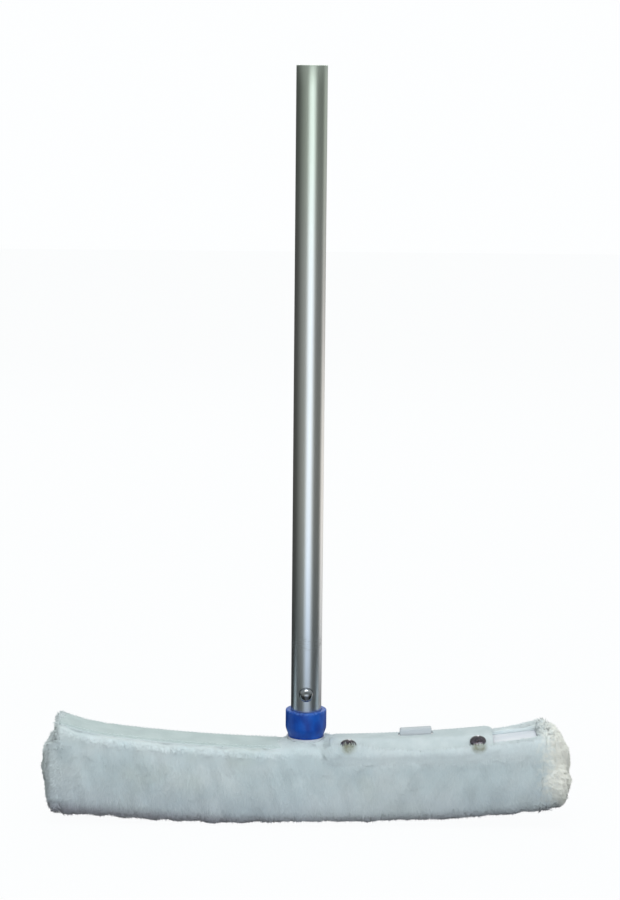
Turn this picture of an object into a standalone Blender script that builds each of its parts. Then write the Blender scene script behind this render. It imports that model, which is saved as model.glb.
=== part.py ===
"""Floor wax applicator: a tube handle pushed over the spigot of a blue socket,
a bowed moulded crossbar bolted to that socket, and a fleece sleeve that covers
the crossbar, with a snap-down flap over its slit.

Lengths are in metres, +Z is up and -Y is the side with the push button.
The axis of the handle stands on the origin, and the sleeve rests on z = 0.
The head is modelled straight and then bowed upwards towards its ends.
"""

import math

import bmesh
import bpy
from mathutils import Matrix, Vector

# Handle tube
POLE_DIAMETER = 0.0254
POLE_WALL = 0.0012
POLE_TOP_Z = 0.6287
POLE_EDGE_BEVEL = 0.0003

# Blue socket: a collar round the end of the tube and a spigot inside it
COLLAR_DIAMETER = 0.0342
COLLAR_RIM_Z = 0.0954
COLLAR_RIM_BEVEL = 0.0009
COLLAR_TAPER_Z = 0.0800
SOCKET_BASE_Z = 0.0650
SOCKET_BASE_DIAMETER = 0.0236
GROOVE_DEPTH = 0.0195
SPIGOT_HEIGHT = 0.0550
SPIGOT_BORE_DIAMETER = 0.0160
SPIGOT_TIP_BEVEL = 0.0012
NUT_SEAT_Z = 0.0775

# Push button and its leaf spring
BUTTON_Z = 0.1107
BUTTON_DIAMETER = 0.0117
BUTTON_REACH = 0.0055
BUTTON_DOME_HEIGHT = 0.0042
BUTTON_FLANGE_DIAMETER = 0.0134
BUTTON_FLANGE_THICKNESS = 0.0010
BUTTON_FLANGE_FRONT_Y = -0.0040
BUTTON_HOLLOW_DIAMETER = 0.0086
SPRING_WIDTH = 0.0076
SPRING_THICKNESS = 0.0005
SPRING_BACK_Y = 0.0062
SPRING_FOOT_Z = 0.1030
SPRING_BEND_Z = 0.1340

# Bolt, washer and captive nut that hold the socket on the crossbar
BOLT_DIAMETER = 0.0060
BOLT_TIP_Z = 0.0877
BOLT_HEAD_ACROSS_FLATS = 0.0100
BOLT_HEAD_HEIGHT = 0.0040
WASHER_DIAMETER = 0.0140
WASHER_THICKNESS = 0.0012
NUT_ACROSS_FLATS = 0.0100
NUT_HEIGHT = 0.0050
HEX_EDGE_BEVEL = 0.0004

# Moulded crossbar
BAR_LENGTH = 0.3890
BAR_DEPTH = 0.0280
BAR_TOP_Z = 0.0620
BAR_BOTTOM_Z = 0.0210
BAR_WALL = 0.0025
BAR_EDGE_RADIUS = 0.0030
BAY_COUNT = 5
RIB_THICKNESS = 0.0020
RIB_FOOT_Z = 0.0330
CUP_RIM_Z = 0.0725
CUP_WALL = 0.0013
LUG_OFFSET = 0.00115
LUG_LENGTH = 0.0265
LUG_FRONT_Y = 0.0040
LUG_BACK_Y = 0.0125
LUG_TOP_Z = 0.0745
LUG_EDGE_RADIUS = 0.0010

# Bow of the whole head, and the sole that is pressed flat on the floor
BOW_RADIUS = 1.3600
SOLE_FLAT_LENGTH = 0.1500
SOLE_LEFT_RISE = 0.0075
SOLE_RIGHT_RISE = 0.0110
SOLE_THICKNESS = 0.0195
EAR_LENGTH = 0.0550
EAR_RISE = 0.0050
BOW_PITCH = 0.0204

# Fleece sleeve
RIGHT_END_ROOM = 0.0042
LEFT_PAD_LENGTH = 0.0130
LEFT_PAD_SHARE = 0.86
RIGHT_PAD_LENGTH = 0.0195
RIGHT_PAD_SHARE = 1.0
PAD_CROWN_SHARE = 0.95
PAD_CROWN_POWER = 2.4
PAD_CENTRE_Z = 0.0300
SLEEVE_DEPTH = 0.0500
SLEEVE_TOP_Z = 0.0640
SOLE_EDGE_RADIUS = 0.0115
SLEEVE_TOP_RADIUS = 0.0050
NECK_HOLE_DIAMETER = 0.0385
FRONT_WALL_TOP_Z = 0.0602
FRONT_WALL_INNER_RISE = 0.0034

# Cloth bands: over the closed half of the sleeve and along the slit's front edge
BINDING_FRONT_Y = -0.0140
BINDING_BACK_Y = 0.0215
BINDING_THICKNESS = 0.0015
BINDING_INNER_X = -0.0225
BAND_END_INSET = 0.0015
BAND_EDGE_BEVEL = 0.0005
HEM_THICKNESS = 0.0020
HEM_WIDTH = 0.0105
HEM_INNER_X = 0.0225

# Closure flap, sewn down along its back edge
FLAP_START_X = 0.0265
BAR_SHOWN_LENGTH = 0.0385
FLAP_THICKNESS = 0.0018
FLAP_HINGE_Y = 0.0235
FLAP_HINGE_Z = 0.0656
FLAP_SHOULDER_Y = 0.0190
FLAP_SHOULDER_Z = 0.0680
FLAP_CROWN_BACK_Y = 0.0120
FLAP_CROWN_FRONT_Y = -0.0105
FLAP_CROWN_Z = 0.0687
FLAP_SLOPE_START = -0.0035
FLAP_SLOPE_END = 0.0110
FLAP_EDGE_BEVEL = 0.0004
LUG_SWING_CLEARANCE = 0.0028
LUG_SIDE_CLEARANCE = 0.0012

# Snap fasteners, set square to the sloping front edge of the slit
INNER_SNAP_INSET = 0.0090
OUTER_SNAP_INSET = 0.0122
SNAP_TILT_SHARE = 25 / 90
SNAP_SETBACK = 0.0030
CAP_DIAMETER = 0.0136
CAP_HEIGHT = 0.0030
CAP_EDGE_HEIGHT = 0.0008
CAP_SHANK_DIAMETER = 0.0028
SNAP_SOCKET_DIAMETER = 0.0100
SNAP_SOCKET_BORE_DIAMETER = 0.0062
SNAP_SOCKET_DEPTH = 0.0017
SNAP_ROOF_THICKNESS = 0.0006
STUD_FLANGE_DIAMETER = 0.0090
STUD_FLANGE_THICKNESS = 0.0005
STUD_KNOB_DIAMETER = 0.0038
STUD_KNOB_HEIGHT = 0.0016
STUD_BORE_DEPTH = 0.0011
POST_DISC_DIAMETER = 0.0060
POST_DISC_THICKNESS = 0.0008
POST_SHANK_DIAMETER = 0.0020
POST_SEAT_DEPTH = 0.0016

# Fits
CONTACT_GAP = 0.0003
TUBE_CLEARANCE = 0.0002
BUTTON_CLEARANCE = 0.0002
THREAD_CLEARANCE = 0.0002
SMALL_CLEARANCE = 0.0003
CAVITY_CLEARANCE = 0.0005
CUT_OVERRUN = 0.0100
WELD_DISTANCE = 0.000001

# Fineness of the round shapes
ROUND_SIDES = 48
SMALL_ROUND_SIDES = 32
BEVEL_STEPS = 4
SMALL_BEVEL_STEPS = 2
ROUND_BEVEL_SHARE = 0.5
DOME_STEPS = 7
PAD_STEPS = 6
BEND_STEPS = 8
SMOOTH_ANGLE = math.radians(32)

# Values that follow from the sizes above
POLE_RADIUS = POLE_DIAMETER / 2
POLE_BORE_RADIUS = POLE_RADIUS - POLE_WALL
COLLAR_RADIUS = COLLAR_DIAMETER / 2
GROOVE_FLOOR_Z = COLLAR_RIM_Z - GROOVE_DEPTH
POLE_BOTTOM_Z = GROOVE_FLOOR_Z + CONTACT_GAP
SPIGOT_RADIUS = POLE_BORE_RADIUS - TUBE_CLEARANCE
SPIGOT_TIP_Z = COLLAR_RIM_Z + SPIGOT_HEIGHT
SPIGOT_BORE_RADIUS = SPIGOT_BORE_DIAMETER / 2
NUT_POCKET_TOP_Z = NUT_SEAT_Z + NUT_HEIGHT + 2 * CONTACT_GAP
BUTTON_HOLE_RADIUS = BUTTON_DIAMETER / 2 + BUTTON_CLEARANCE
BOLT_HOLE_RADIUS = BOLT_DIAMETER / 2 + SMALL_CLEARANCE
BAR_HALF_LENGTH = BAR_LENGTH / 2
BAR_HALF_DEPTH = BAR_DEPTH / 2
PLATE_UNDER_Z = BAR_TOP_Z - BAR_WALL
CUP_FLOOR_Z = SOCKET_BASE_Z - CONTACT_GAP
HEAD_HALF_LENGTH = BAR_HALF_LENGTH + RIGHT_END_ROOM + CONTACT_GAP + RIGHT_PAD_LENGTH
FLAP_END_X = BAR_HALF_LENGTH - BAR_SHOWN_LENGTH
SNAP_XS = (FLAP_START_X + INNER_SNAP_INSET, FLAP_END_X - OUTER_SNAP_INSET)
LUG_X = (FLAP_START_X + FLAP_END_X) / 2 + LUG_OFFSET
SLEEVE_LEFT_X = LEFT_PAD_LENGTH + CONTACT_GAP - HEAD_HALF_LENGTH
SLEEVE_RIGHT_X = HEAD_HALF_LENGTH - RIGHT_PAD_LENGTH - CONTACT_GAP
SLEEVE_HALF_DEPTH = SLEEVE_DEPTH / 2
CAVITY_HALF_DEPTH = BAR_HALF_DEPTH + CAVITY_CLEARANCE
CAVITY_FLOOR_Z = BAR_BOTTOM_Z - CAVITY_CLEARANCE
CAVITY_ROOF_Z = BAR_TOP_Z + CAVITY_CLEARANCE
BAND_LEFT_X = SLEEVE_LEFT_X + BAND_END_INSET
BAND_RIGHT_X = SLEEVE_RIGHT_X - BAND_END_INSET
SNAP_TILT = SNAP_TILT_SHARE * math.pi / 2
SLOPE_DIRECTION = Vector((0, -math.cos(SNAP_TILT), -math.sin(SNAP_TILT)))
SLOPE_NORMAL = Vector((0, -math.sin(SNAP_TILT), math.cos(SNAP_TILT)))
SLOPE_ORIGIN = Vector((0, -CAVITY_HALF_DEPTH, FRONT_WALL_TOP_Z))
HEM_TOP = CONTACT_GAP + HEM_THICKNESS
STUD_BOTTOM = HEM_TOP + BUTTON_CLEARANCE
STUD_FLANGE_TOP = STUD_BOTTOM + STUD_FLANGE_THICKNESS
STUD_TOP = STUD_FLANGE_TOP + STUD_KNOB_HEIGHT
SNAP_SOCKET_BOTTOM = STUD_FLANGE_TOP + CONTACT_GAP
SNAP_ROOF_BOTTOM = SNAP_SOCKET_BOTTOM + SNAP_SOCKET_DEPTH
SNAP_ROOF_TOP = SNAP_ROOF_BOTTOM + SNAP_ROOF_THICKNESS
FLAP_UNDERSIDE = SNAP_ROOF_TOP + BUTTON_CLEARANCE
FLAP_TOP = FLAP_UNDERSIDE + FLAP_THICKNESS
CAP_BOTTOM = FLAP_TOP + BUTTON_CLEARANCE
CAP_SHANK_RADIUS = CAP_SHANK_DIAMETER / 2
CAP_HOLE_RADIUS = CAP_SHANK_RADIUS + SMALL_CLEARANCE
POST_SHANK_RADIUS = POST_SHANK_DIAMETER / 2
POST_HOLE_RADIUS = POST_SHANK_RADIUS + SMALL_CLEARANCE

# Colours, metalness and roughness
LOOKS = {
    "anodised_aluminium": ((0.62, 0.64, 0.63), 1.0, 0.32),
    "blue_plastic": ((0.02, 0.06, 0.30), 0.0, 0.42),
    "button_steel": ((0.55, 0.56, 0.58), 1.0, 0.18),
    "spring_steel": ((0.38, 0.39, 0.41), 1.0, 0.34),
    "zinc_steel": ((0.56, 0.57, 0.57), 1.0, 0.38),
    "grey_plastic": ((0.66, 0.69, 0.74), 0.0, 0.45),
    "white_fleece": ((0.62, 0.67, 0.70), 0.0, 0.95),
    "cream_fleece": ((0.72, 0.70, 0.62), 0.0, 0.95),
    "white_webbing": ((0.60, 0.67, 0.68), 0.0, 0.85),
    "flap_cloth": ((0.66, 0.71, 0.74), 0.0, 0.90),
    "snap_gunmetal": ((0.045, 0.035, 0.05), 1.0, 0.35),
    "snap_brass": ((0.42, 0.34, 0.20), 1.0, 0.40),
}


def clear_scene():
    for obj in list(bpy.data.objects):
        bpy.data.objects.remove(obj, do_unlink=True)


def material(name, node_name):
    colour, metalness, roughness = LOOKS[name]
    made = bpy.data.materials.new(node_name + "_" + name)
    made.use_nodes = True
    shader = made.node_tree.nodes["Principled BSDF"]
    shader.inputs["Base Color"].default_value = (*colour, 1)
    shader.inputs["Metallic"].default_value = metalness
    shader.inputs["Roughness"].default_value = roughness
    return made


def object_from(name, mesh_data):
    mesh = bpy.data.meshes.new(name)
    bmesh.ops.recalc_face_normals(mesh_data, faces=mesh_data.faces)
    mesh_data.to_mesh(mesh)
    mesh_data.free()
    obj = bpy.data.objects.new(name, mesh)
    bpy.context.scene.collection.objects.link(obj)
    return obj


def apply_modifiers(obj):
    """Replaces the mesh with the one its modifiers give."""
    bpy.context.view_layer.update()
    graph = bpy.context.evaluated_depsgraph_get()
    made = bpy.data.meshes.new_from_object(obj.evaluated_get(graph))
    obj.modifiers.clear()
    obj.data = made
    made.name = obj.name


def combine(obj, other, operation):
    """Boolean of obj with other, which is used up."""
    step = obj.modifiers.new("combine", "BOOLEAN")
    step.operation = operation
    step.solver = "EXACT"
    step.object = other
    apply_modifiers(obj)
    bpy.data.objects.remove(other, do_unlink=True)


def cut(obj, *cutters):
    for cutter in cutters:
        combine(obj, cutter, "DIFFERENCE")


def add(obj, other):
    combine(obj, other, "UNION")


def block(name, low, high):
    """Box between two corners."""
    made = bmesh.new()
    low = Vector(low)
    high = Vector(high)
    place = Matrix.Translation((low + high) / 2) @ Matrix.Diagonal((*(high - low), 1))
    bmesh.ops.create_cube(made, size=1, matrix=place)
    return object_from(name, made)


def bevel_edges(obj, width, steps, chosen):
    """Rounds the edges for which chosen(edge) is true."""
    made = bmesh.new()
    made.from_mesh(obj.data)
    bmesh.ops.bevel(
        made,
        geom=[edge for edge in made.edges if chosen(edge)],
        offset=width,
        offset_type="OFFSET",
        segments=steps,
        profile=ROUND_BEVEL_SHARE,
        affect="EDGES",
        clamp_overlap=True,
    )
    made.to_mesh(obj.data)
    made.free()


def bevel_sharp(obj, width, steps):
    """Rounds every edge that is sharper than the smoothing angle."""
    bevel_edges(obj, width, steps, lambda edge: edge.calc_face_angle() > SMOOTH_ANGLE)


def bevel_above(obj, width, steps, height):
    """Rounds the edges whose middle lies above a height."""

    def above(edge):
        return (edge.verts[0].co.z + edge.verts[1].co.z) / 2 > height

    bevel_edges(obj, width, steps, above)


def turned(name, profile, sides, place=None):
    """Closed profile of (radius, height) points turned about the Z axis."""
    made = bmesh.new()
    corners = [made.verts.new((radius, 0, height)) for radius, height in profile]
    edges = [
        made.edges.new((corners[i - 1], corners[i]))
        for i in range(len(corners))
        if corners[i - 1].co.x > 0 or corners[i].co.x > 0
    ]
    bmesh.ops.spin(
        made,
        geom=corners + edges,
        cent=(0, 0, 0),
        axis=(0, 0, 1),
        angle=2 * math.pi,
        steps=sides,
        use_merge=True,
    )
    bmesh.ops.remove_doubles(made, verts=made.verts, dist=WELD_DISTANCE)
    if place:
        bmesh.ops.transform(made, matrix=place, verts=made.verts)
    return object_from(name, made)


def rod(name, radius, bottom, top, sides, place=None):
    profile = [(0, bottom), (radius, bottom), (radius, top), (0, top)]
    return turned(name, profile, sides, place)


def hexagon(name, across_flats, bottom, top):
    """Hexagonal prism with two of its flats facing +Y and -Y."""
    made = bmesh.new()
    bmesh.ops.create_cone(
        made,
        cap_ends=True,
        segments=6,
        radius1=across_flats / math.sqrt(3),
        radius2=across_flats / math.sqrt(3),
        depth=top - bottom,
        matrix=Matrix.Translation((0, 0, (top + bottom) / 2)),
    )
    bmesh.ops.rotate(made, verts=made.verts, matrix=Matrix.Rotation(math.pi / 6, 3, "Z"))
    return object_from(name, made)


def bow_rise(x):
    return BOW_RADIUS - math.sqrt(BOW_RADIUS**2 - x**2)


def sole_rise(x):
    flat = SOLE_FLAT_LENGTH / 2
    run = (x**2 - flat**2) / (HEAD_HALF_LENGTH**2 - flat**2)
    end = SOLE_LEFT_RISE if x < 0 else SOLE_RIGHT_RISE
    return end * max(0, run)


def ear_rise(x):
    run = (abs(x) - HEAD_HALF_LENGTH + EAR_LENGTH) / EAR_LENGTH
    return EAR_RISE * max(0, run) ** 2


def rise(x, z):
    """How far the bow lifts a point that was modelled on the straight head."""
    share = min(1, max(0, z / SOLE_THICKNESS))
    top = (z - CAVITY_ROOF_Z) / (SLEEVE_TOP_Z - CAVITY_ROOF_Z)
    ear = min(1, max(0, top)) * ear_rise(x)
    return share * bow_rise(x) + (1 - share) * sole_rise(x) + ear


def wall_rise(x, y):
    """How much higher the slit's front edge and the cloth on it stand towards the neck."""
    along = (FLAP_END_X - x) / (FLAP_END_X - FLAP_START_X)
    across = (FLAP_CROWN_BACK_Y - y) / (FLAP_CROWN_BACK_Y - FLAP_CROWN_FRONT_Y)
    return FRONT_WALL_INNER_RISE * min(1, max(0, along)) * min(1, max(0, across))


def on_slope(point):
    """True on the plane that slopes down from the top of the slit's front wall."""
    return abs((point - SLOPE_ORIGIN).dot(SLOPE_NORMAL)) < WELD_DISTANCE


def bow(obj, on_wall=lambda point: False):
    """Slices a straight body across its length and bows it, higher where it is on the wall."""
    made = bmesh.new()
    made.from_mesh(obj.data)
    slices = math.ceil(HEAD_HALF_LENGTH / BOW_PITCH)
    for i in range(-slices, slices + 1):
        bmesh.ops.bisect_plane(
            made,
            geom=made.verts[:] + made.edges[:] + made.faces[:],
            dist=WELD_DISTANCE,
            plane_co=(i * BOW_PITCH, 0, 0),
            plane_no=(1, 0, 0),
        )
    bmesh.ops.triangulate(made, faces=made.faces)
    for vertex in made.verts:
        extra = wall_rise(vertex.co.x, vertex.co.y) if on_wall(vertex.co) else 0
        vertex.co.z += rise(vertex.co.x, vertex.co.z) + extra
    made.to_mesh(obj.data)
    made.free()


def slope_block(name, start_x, end_x, start, end, bottom, top):
    """Box on the sloping front edge of the slit: along X, down the slope, outwards."""
    made = block(name, (start_x, -end, bottom), (end_x, -start, top))
    place = Matrix.Translation(SLOPE_ORIGIN) @ Matrix.Rotation(SNAP_TILT, 4, "X")
    made.data.transform(place)
    return made


def snap_place(x):
    """Frame of one snap: its Z axis points out of the bowed slope, from the wall's top."""
    seat = SLOPE_ORIGIN + SLOPE_DIRECTION * SNAP_SETBACK
    seat = seat + Vector((x, 0, bow_rise(x) + wall_rise(x, seat.y)))
    fall = math.atan(FRONT_WALL_INNER_RISE / (FLAP_END_X - FLAP_START_X))
    lean = Matrix.Rotation(fall - math.asin(x / BOW_RADIUS), 4, "Y")
    return Matrix.Translation(seat) @ lean @ Matrix.Rotation(SNAP_TILT, 4, "X")


def forward_place(z):
    """Frame whose Z axis points out of the handle towards -Y, at height z."""
    return Matrix.Translation((0, 0, z)) @ Matrix.Rotation(math.pi / 2, 4, "X")


def dress(obj, look):
    """Gives the body its material and smooth shading with sharp edges kept."""
    obj.data.materials.clear()
    obj.data.materials.append(material(look, obj.name))
    obj.data.shade_smooth()
    obj.data.set_sharp_from_angle(angle=SMOOTH_ANGLE)


def set_origin(obj, point):
    """Moves the object's origin to a point and leaves the solid where it is."""
    obj.data.transform(Matrix.Translation(-Vector(point)))
    obj.location = point


def make_pole():
    profile = [
        (POLE_BORE_RADIUS, POLE_BOTTOM_Z),
        (POLE_RADIUS, POLE_BOTTOM_Z),
        (POLE_RADIUS, POLE_TOP_Z - POLE_EDGE_BEVEL),
        (POLE_RADIUS - POLE_EDGE_BEVEL, POLE_TOP_Z),
        (POLE_BORE_RADIUS + POLE_EDGE_BEVEL, POLE_TOP_Z),
        (POLE_BORE_RADIUS, POLE_TOP_Z - POLE_EDGE_BEVEL),
    ]
    pole = turned("pole_tube", profile, ROUND_SIDES)
    reach = POLE_RADIUS + CUT_OVERRUN
    place = forward_place(BUTTON_Z)
    cut(pole, rod("hole", BUTTON_HOLE_RADIUS, 0, reach, SMALL_ROUND_SIDES, place))
    dress(pole, "anodised_aluminium")


def make_socket():
    groove_outer = POLE_RADIUS + TUBE_CLEARANCE
    profile = [
        (BOLT_HOLE_RADIUS, SOCKET_BASE_Z),
        (SOCKET_BASE_DIAMETER / 2, SOCKET_BASE_Z),
        (COLLAR_RADIUS, COLLAR_TAPER_Z),
        (COLLAR_RADIUS, COLLAR_RIM_Z - COLLAR_RIM_BEVEL),
        (COLLAR_RADIUS - COLLAR_RIM_BEVEL, COLLAR_RIM_Z),
        (groove_outer, COLLAR_RIM_Z),
        (groove_outer, GROOVE_FLOOR_Z),
        (SPIGOT_RADIUS, GROOVE_FLOOR_Z),
        (SPIGOT_RADIUS, SPIGOT_TIP_Z - SPIGOT_TIP_BEVEL),
        (SPIGOT_RADIUS - SPIGOT_TIP_BEVEL, SPIGOT_TIP_Z),
        (SPIGOT_BORE_RADIUS, SPIGOT_TIP_Z),
        (SPIGOT_BORE_RADIUS, NUT_POCKET_TOP_Z),
        (BOLT_HOLE_RADIUS, NUT_POCKET_TOP_Z),
    ]
    socket = turned("socket_body", profile, ROUND_SIDES)
    pocket_flats = NUT_ACROSS_FLATS + 2 * SMALL_CLEARANCE
    top = NUT_POCKET_TOP_Z + CUT_OVERRUN
    cut(socket, hexagon("pocket", pocket_flats, NUT_SEAT_Z, top))
    place = forward_place(BUTTON_Z)
    reach = POLE_RADIUS + CUT_OVERRUN
    cut(socket, rod("hole", BUTTON_HOLE_RADIUS, 0, reach, SMALL_ROUND_SIDES, place))
    dress(socket, "blue_plastic")


def make_button():
    """Round button with a domed face, a flange behind the wall and a hollow back."""
    radius = BUTTON_DIAMETER / 2
    tip = POLE_RADIUS + BUTTON_REACH
    shoulder = tip - BUTTON_DOME_HEIGHT
    flange_front = -BUTTON_FLANGE_FRONT_Y
    flange_back = flange_front - BUTTON_FLANGE_THICKNESS
    hollow_end = shoulder - BUTTON_DOME_HEIGHT / 2
    profile = [
        (BUTTON_HOLLOW_DIAMETER / 2, flange_back),
        (BUTTON_FLANGE_DIAMETER / 2, flange_back),
        (BUTTON_FLANGE_DIAMETER / 2, flange_front),
        (radius, flange_front),
    ]
    for i in range(DOME_STEPS):
        angle = i / DOME_STEPS * math.pi / 2
        height = shoulder + BUTTON_DOME_HEIGHT * math.sin(angle)
        profile.append((radius * math.cos(angle), height))
    profile.append((0, tip))
    profile.append((0, hollow_end))
    profile.append((BUTTON_HOLLOW_DIAMETER / 2, hollow_end))
    button = turned("push_button", profile, SMALL_ROUND_SIDES, forward_place(BUTTON_Z))
    set_origin(button, (0, 0, BUTTON_Z))
    dress(button, "button_steel")


def make_spring():
    """Leaf bent over at its top: one leg behind the button, one against the bore."""
    back = SPRING_BACK_Y - SPRING_THICKNESS / 2
    flange_back = BUTTON_FLANGE_FRONT_Y + BUTTON_FLANGE_THICKNESS
    front = flange_back + CONTACT_GAP + SPRING_THICKNESS / 2
    middle = (front + back) / 2
    radius = (back - front) / 2
    path = [(front, SPRING_FOOT_Z)]
    for i in range(BEND_STEPS + 1):
        angle = i / BEND_STEPS * math.pi
        y = middle - radius * math.cos(angle)
        path.append((y, SPRING_BEND_Z + radius * math.sin(angle)))
    path.append((back, SPRING_FOOT_Z))
    spring = strip("button_spring", path, -SPRING_WIDTH / 2, SPRING_WIDTH / 2, SPRING_THICKNESS)
    dress(spring, "spring_steel")


def strip(name, path, start_x, end_x, thickness):
    """Band of even thickness along X whose middle line follows (y, z) points."""
    made = bmesh.new()
    left = [made.verts.new((start_x, y, z)) for y, z in path]
    edges = [made.edges.new(pair) for pair in zip(left, left[1:])]
    wide = bmesh.ops.extrude_edge_only(made, edges=edges)["geom"]
    moved = [item for item in wide if isinstance(item, bmesh.types.BMVert)]
    bmesh.ops.translate(made, verts=moved, vec=(end_x - start_x, 0, 0))
    band = object_from(name, made)
    thick = band.modifiers.new("thick", "SOLIDIFY")
    thick.thickness = thickness
    thick.offset = 0
    thick.use_even_offset = True
    apply_modifiers(band)
    return band


def make_bolt():
    head_top = PLATE_UNDER_Z - 2 * CONTACT_GAP - WASHER_THICKNESS
    bolt = hexagon("socket_bolt", BOLT_HEAD_ACROSS_FLATS, head_top - BOLT_HEAD_HEIGHT, head_top)
    bevel_sharp(bolt, HEX_EDGE_BEVEL, 1)
    start = head_top - BOLT_HEAD_HEIGHT / 2
    add(bolt, rod("shank", BOLT_DIAMETER / 2, start, BOLT_TIP_Z, SMALL_ROUND_SIDES))
    dress(bolt, "zinc_steel")


def make_washer():
    top = PLATE_UNDER_Z - CONTACT_GAP
    profile = [
        (BOLT_HOLE_RADIUS, top - WASHER_THICKNESS),
        (WASHER_DIAMETER / 2, top - WASHER_THICKNESS),
        (WASHER_DIAMETER / 2, top),
        (BOLT_HOLE_RADIUS, top),
    ]
    dress(turned("bolt_washer", profile, SMALL_ROUND_SIDES), "zinc_steel")


def make_nut():
    bottom = NUT_SEAT_Z + CONTACT_GAP
    nut = hexagon("captive_nut", NUT_ACROSS_FLATS, bottom, bottom + NUT_HEIGHT)
    bevel_sharp(nut, HEX_EDGE_BEVEL, 1)
    top = bottom + NUT_HEIGHT + CUT_OVERRUN
    radius = BOLT_DIAMETER / 2 + THREAD_CLEARANCE
    cut(nut, rod("thread", radius, bottom - CUT_OVERRUN, top, SMALL_ROUND_SIDES))
    dress(nut, "zinc_steel")


def bay_cutter(index):
    """Space between two cross ribs of the crossbar."""
    inner = BAR_LENGTH - 2 * BAR_WALL
    pitch = (inner + RIB_THICKNESS) / BAY_COUNT
    start = index * pitch - inner / 2
    half = BAR_HALF_DEPTH - BAR_WALL
    low = (start, -half, RIB_FOOT_Z - CUT_OVERRUN)
    high = (start + pitch - RIB_THICKNESS, half, PLATE_UNDER_Z)
    return block("bay", low, high)


def neck_cup():
    """Conical cup that wraps the taper of the socket."""
    slope = (COLLAR_RADIUS - SOCKET_BASE_DIAMETER / 2) / (COLLAR_TAPER_Z - SOCKET_BASE_Z)
    inner_floor = SOCKET_BASE_DIAMETER / 2 + CONTACT_GAP
    inner_rim = inner_floor + slope * (CUP_RIM_Z - CUP_FLOOR_Z)
    foot = PLATE_UNDER_Z + BAR_WALL / 2
    profile = [
        (0, foot),
        (inner_floor - slope * BAR_WALL + CUP_WALL / 2, foot),
        (inner_floor - slope * BAR_WALL / 2 + CUP_WALL, BAR_TOP_Z + BAR_WALL / 2),
        (inner_rim + CUP_WALL, CUP_RIM_Z),
        (inner_rim, CUP_RIM_Z),
        (inner_floor, CUP_FLOOR_Z),
        (0, CUP_FLOOR_Z),
    ]
    return turned("cup", profile, ROUND_SIDES)


def lug():
    low = (LUG_X - LUG_LENGTH / 2, LUG_FRONT_Y, BAR_TOP_Z - BAR_WALL / 2)
    high = (LUG_X + LUG_LENGTH / 2, LUG_BACK_Y, LUG_TOP_Z)
    made = block("lug", low, high)
    bevel_above(made, LUG_EDGE_RADIUS, SMALL_BEVEL_STEPS, BAR_TOP_Z + LUG_EDGE_RADIUS)
    return made


def make_crossbar():
    """Ribbed channel, open below, with the socket's cup and the flap's lug on top."""
    low = (-BAR_HALF_LENGTH, -BAR_HALF_DEPTH, BAR_BOTTOM_Z)
    high = (BAR_HALF_LENGTH, BAR_HALF_DEPTH, BAR_TOP_Z)
    bar = block("crossbar", low, high)
    bevel_above(bar, BAR_EDGE_RADIUS, BEVEL_STEPS, BAR_BOTTOM_Z + BAR_EDGE_RADIUS)
    inner_x = BAR_HALF_LENGTH - BAR_WALL
    inner_y = BAR_HALF_DEPTH - BAR_WALL
    below = BAR_BOTTOM_Z - CUT_OVERRUN
    cut(bar, block("trench", (-inner_x, -inner_y, below), (inner_x, inner_y, RIB_FOOT_Z)))
    for i in range(BAY_COUNT):
        cut(bar, bay_cutter(i))
    add(bar, lug())
    bow(bar)
    add(bar, neck_cup())
    top = CUP_FLOOR_Z + CUT_OVERRUN
    bottom = PLATE_UNDER_Z - CUT_OVERRUN
    cut(bar, rod("hole", BOLT_HOLE_RADIUS, bottom, top, SMALL_ROUND_SIDES))
    dress(bar, "grey_plastic")


def round_fleece_edges(obj):
    """Rounds the long edges of a fleece body, more at the sole than at the top."""

    def long_edge(edge, upper):
        first, last = (vertex.co for vertex in edge.verts)
        if abs(first.x - last.x) < abs(first.y - last.y) + abs(first.z - last.z):
            return False
        outer = min(abs(first.y), abs(last.y)) > SLEEVE_HALF_DEPTH - WELD_DISTANCE
        return outer and (first.z > SLEEVE_TOP_Z / 2) == upper

    bevel_edges(obj, SLEEVE_TOP_RADIUS, BEVEL_STEPS, lambda edge: long_edge(edge, True))
    bevel_edges(obj, SOLE_EDGE_RADIUS, BEVEL_STEPS, lambda edge: long_edge(edge, False))


def make_sleeve():
    """Fleece tube: closed over the left half of the crossbar, slit over the right half."""
    low = (SLEEVE_LEFT_X, -SLEEVE_HALF_DEPTH, 0)
    high = (SLEEVE_RIGHT_X, SLEEVE_HALF_DEPTH, SLEEVE_TOP_Z)
    sleeve = block("sleeve_body", low, high)
    round_fleece_edges(sleeve)
    start = SLEEVE_LEFT_X - CUT_OVERRUN
    end = SLEEVE_RIGHT_X + CUT_OVERRUN
    half = CAVITY_HALF_DEPTH
    cut(sleeve, block("cavity", (start, -half, CAVITY_FLOOR_Z), (end, half, CAVITY_ROOF_Z)))
    above = SLEEVE_TOP_Z + CUT_OVERRUN
    cut(sleeve, block("slit", (0, -half, RIB_FOOT_Z), (end, half, above)))
    start = HEM_INNER_X - CONTACT_GAP
    wide = SLEEVE_DEPTH
    cut(sleeve, slope_block("slope", start, end, -wide, wide, 0, wide))
    bow(sleeve, on_slope)
    neck = NECK_HOLE_DIAMETER / 2
    cut(sleeve, rod("neck", neck, BAR_TOP_Z - BAR_EDGE_RADIUS, above, ROUND_SIDES))
    radius = POST_DISC_DIAMETER / 2 + SMALL_CLEARANCE
    for x in SNAP_XS:
        seat = rod("seat", radius, -POST_SEAT_DEPTH, CUT_OVERRUN, SMALL_ROUND_SIDES, snap_place(x))
        cut(sleeve, seat)
    dress(sleeve, "white_fleece")


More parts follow.
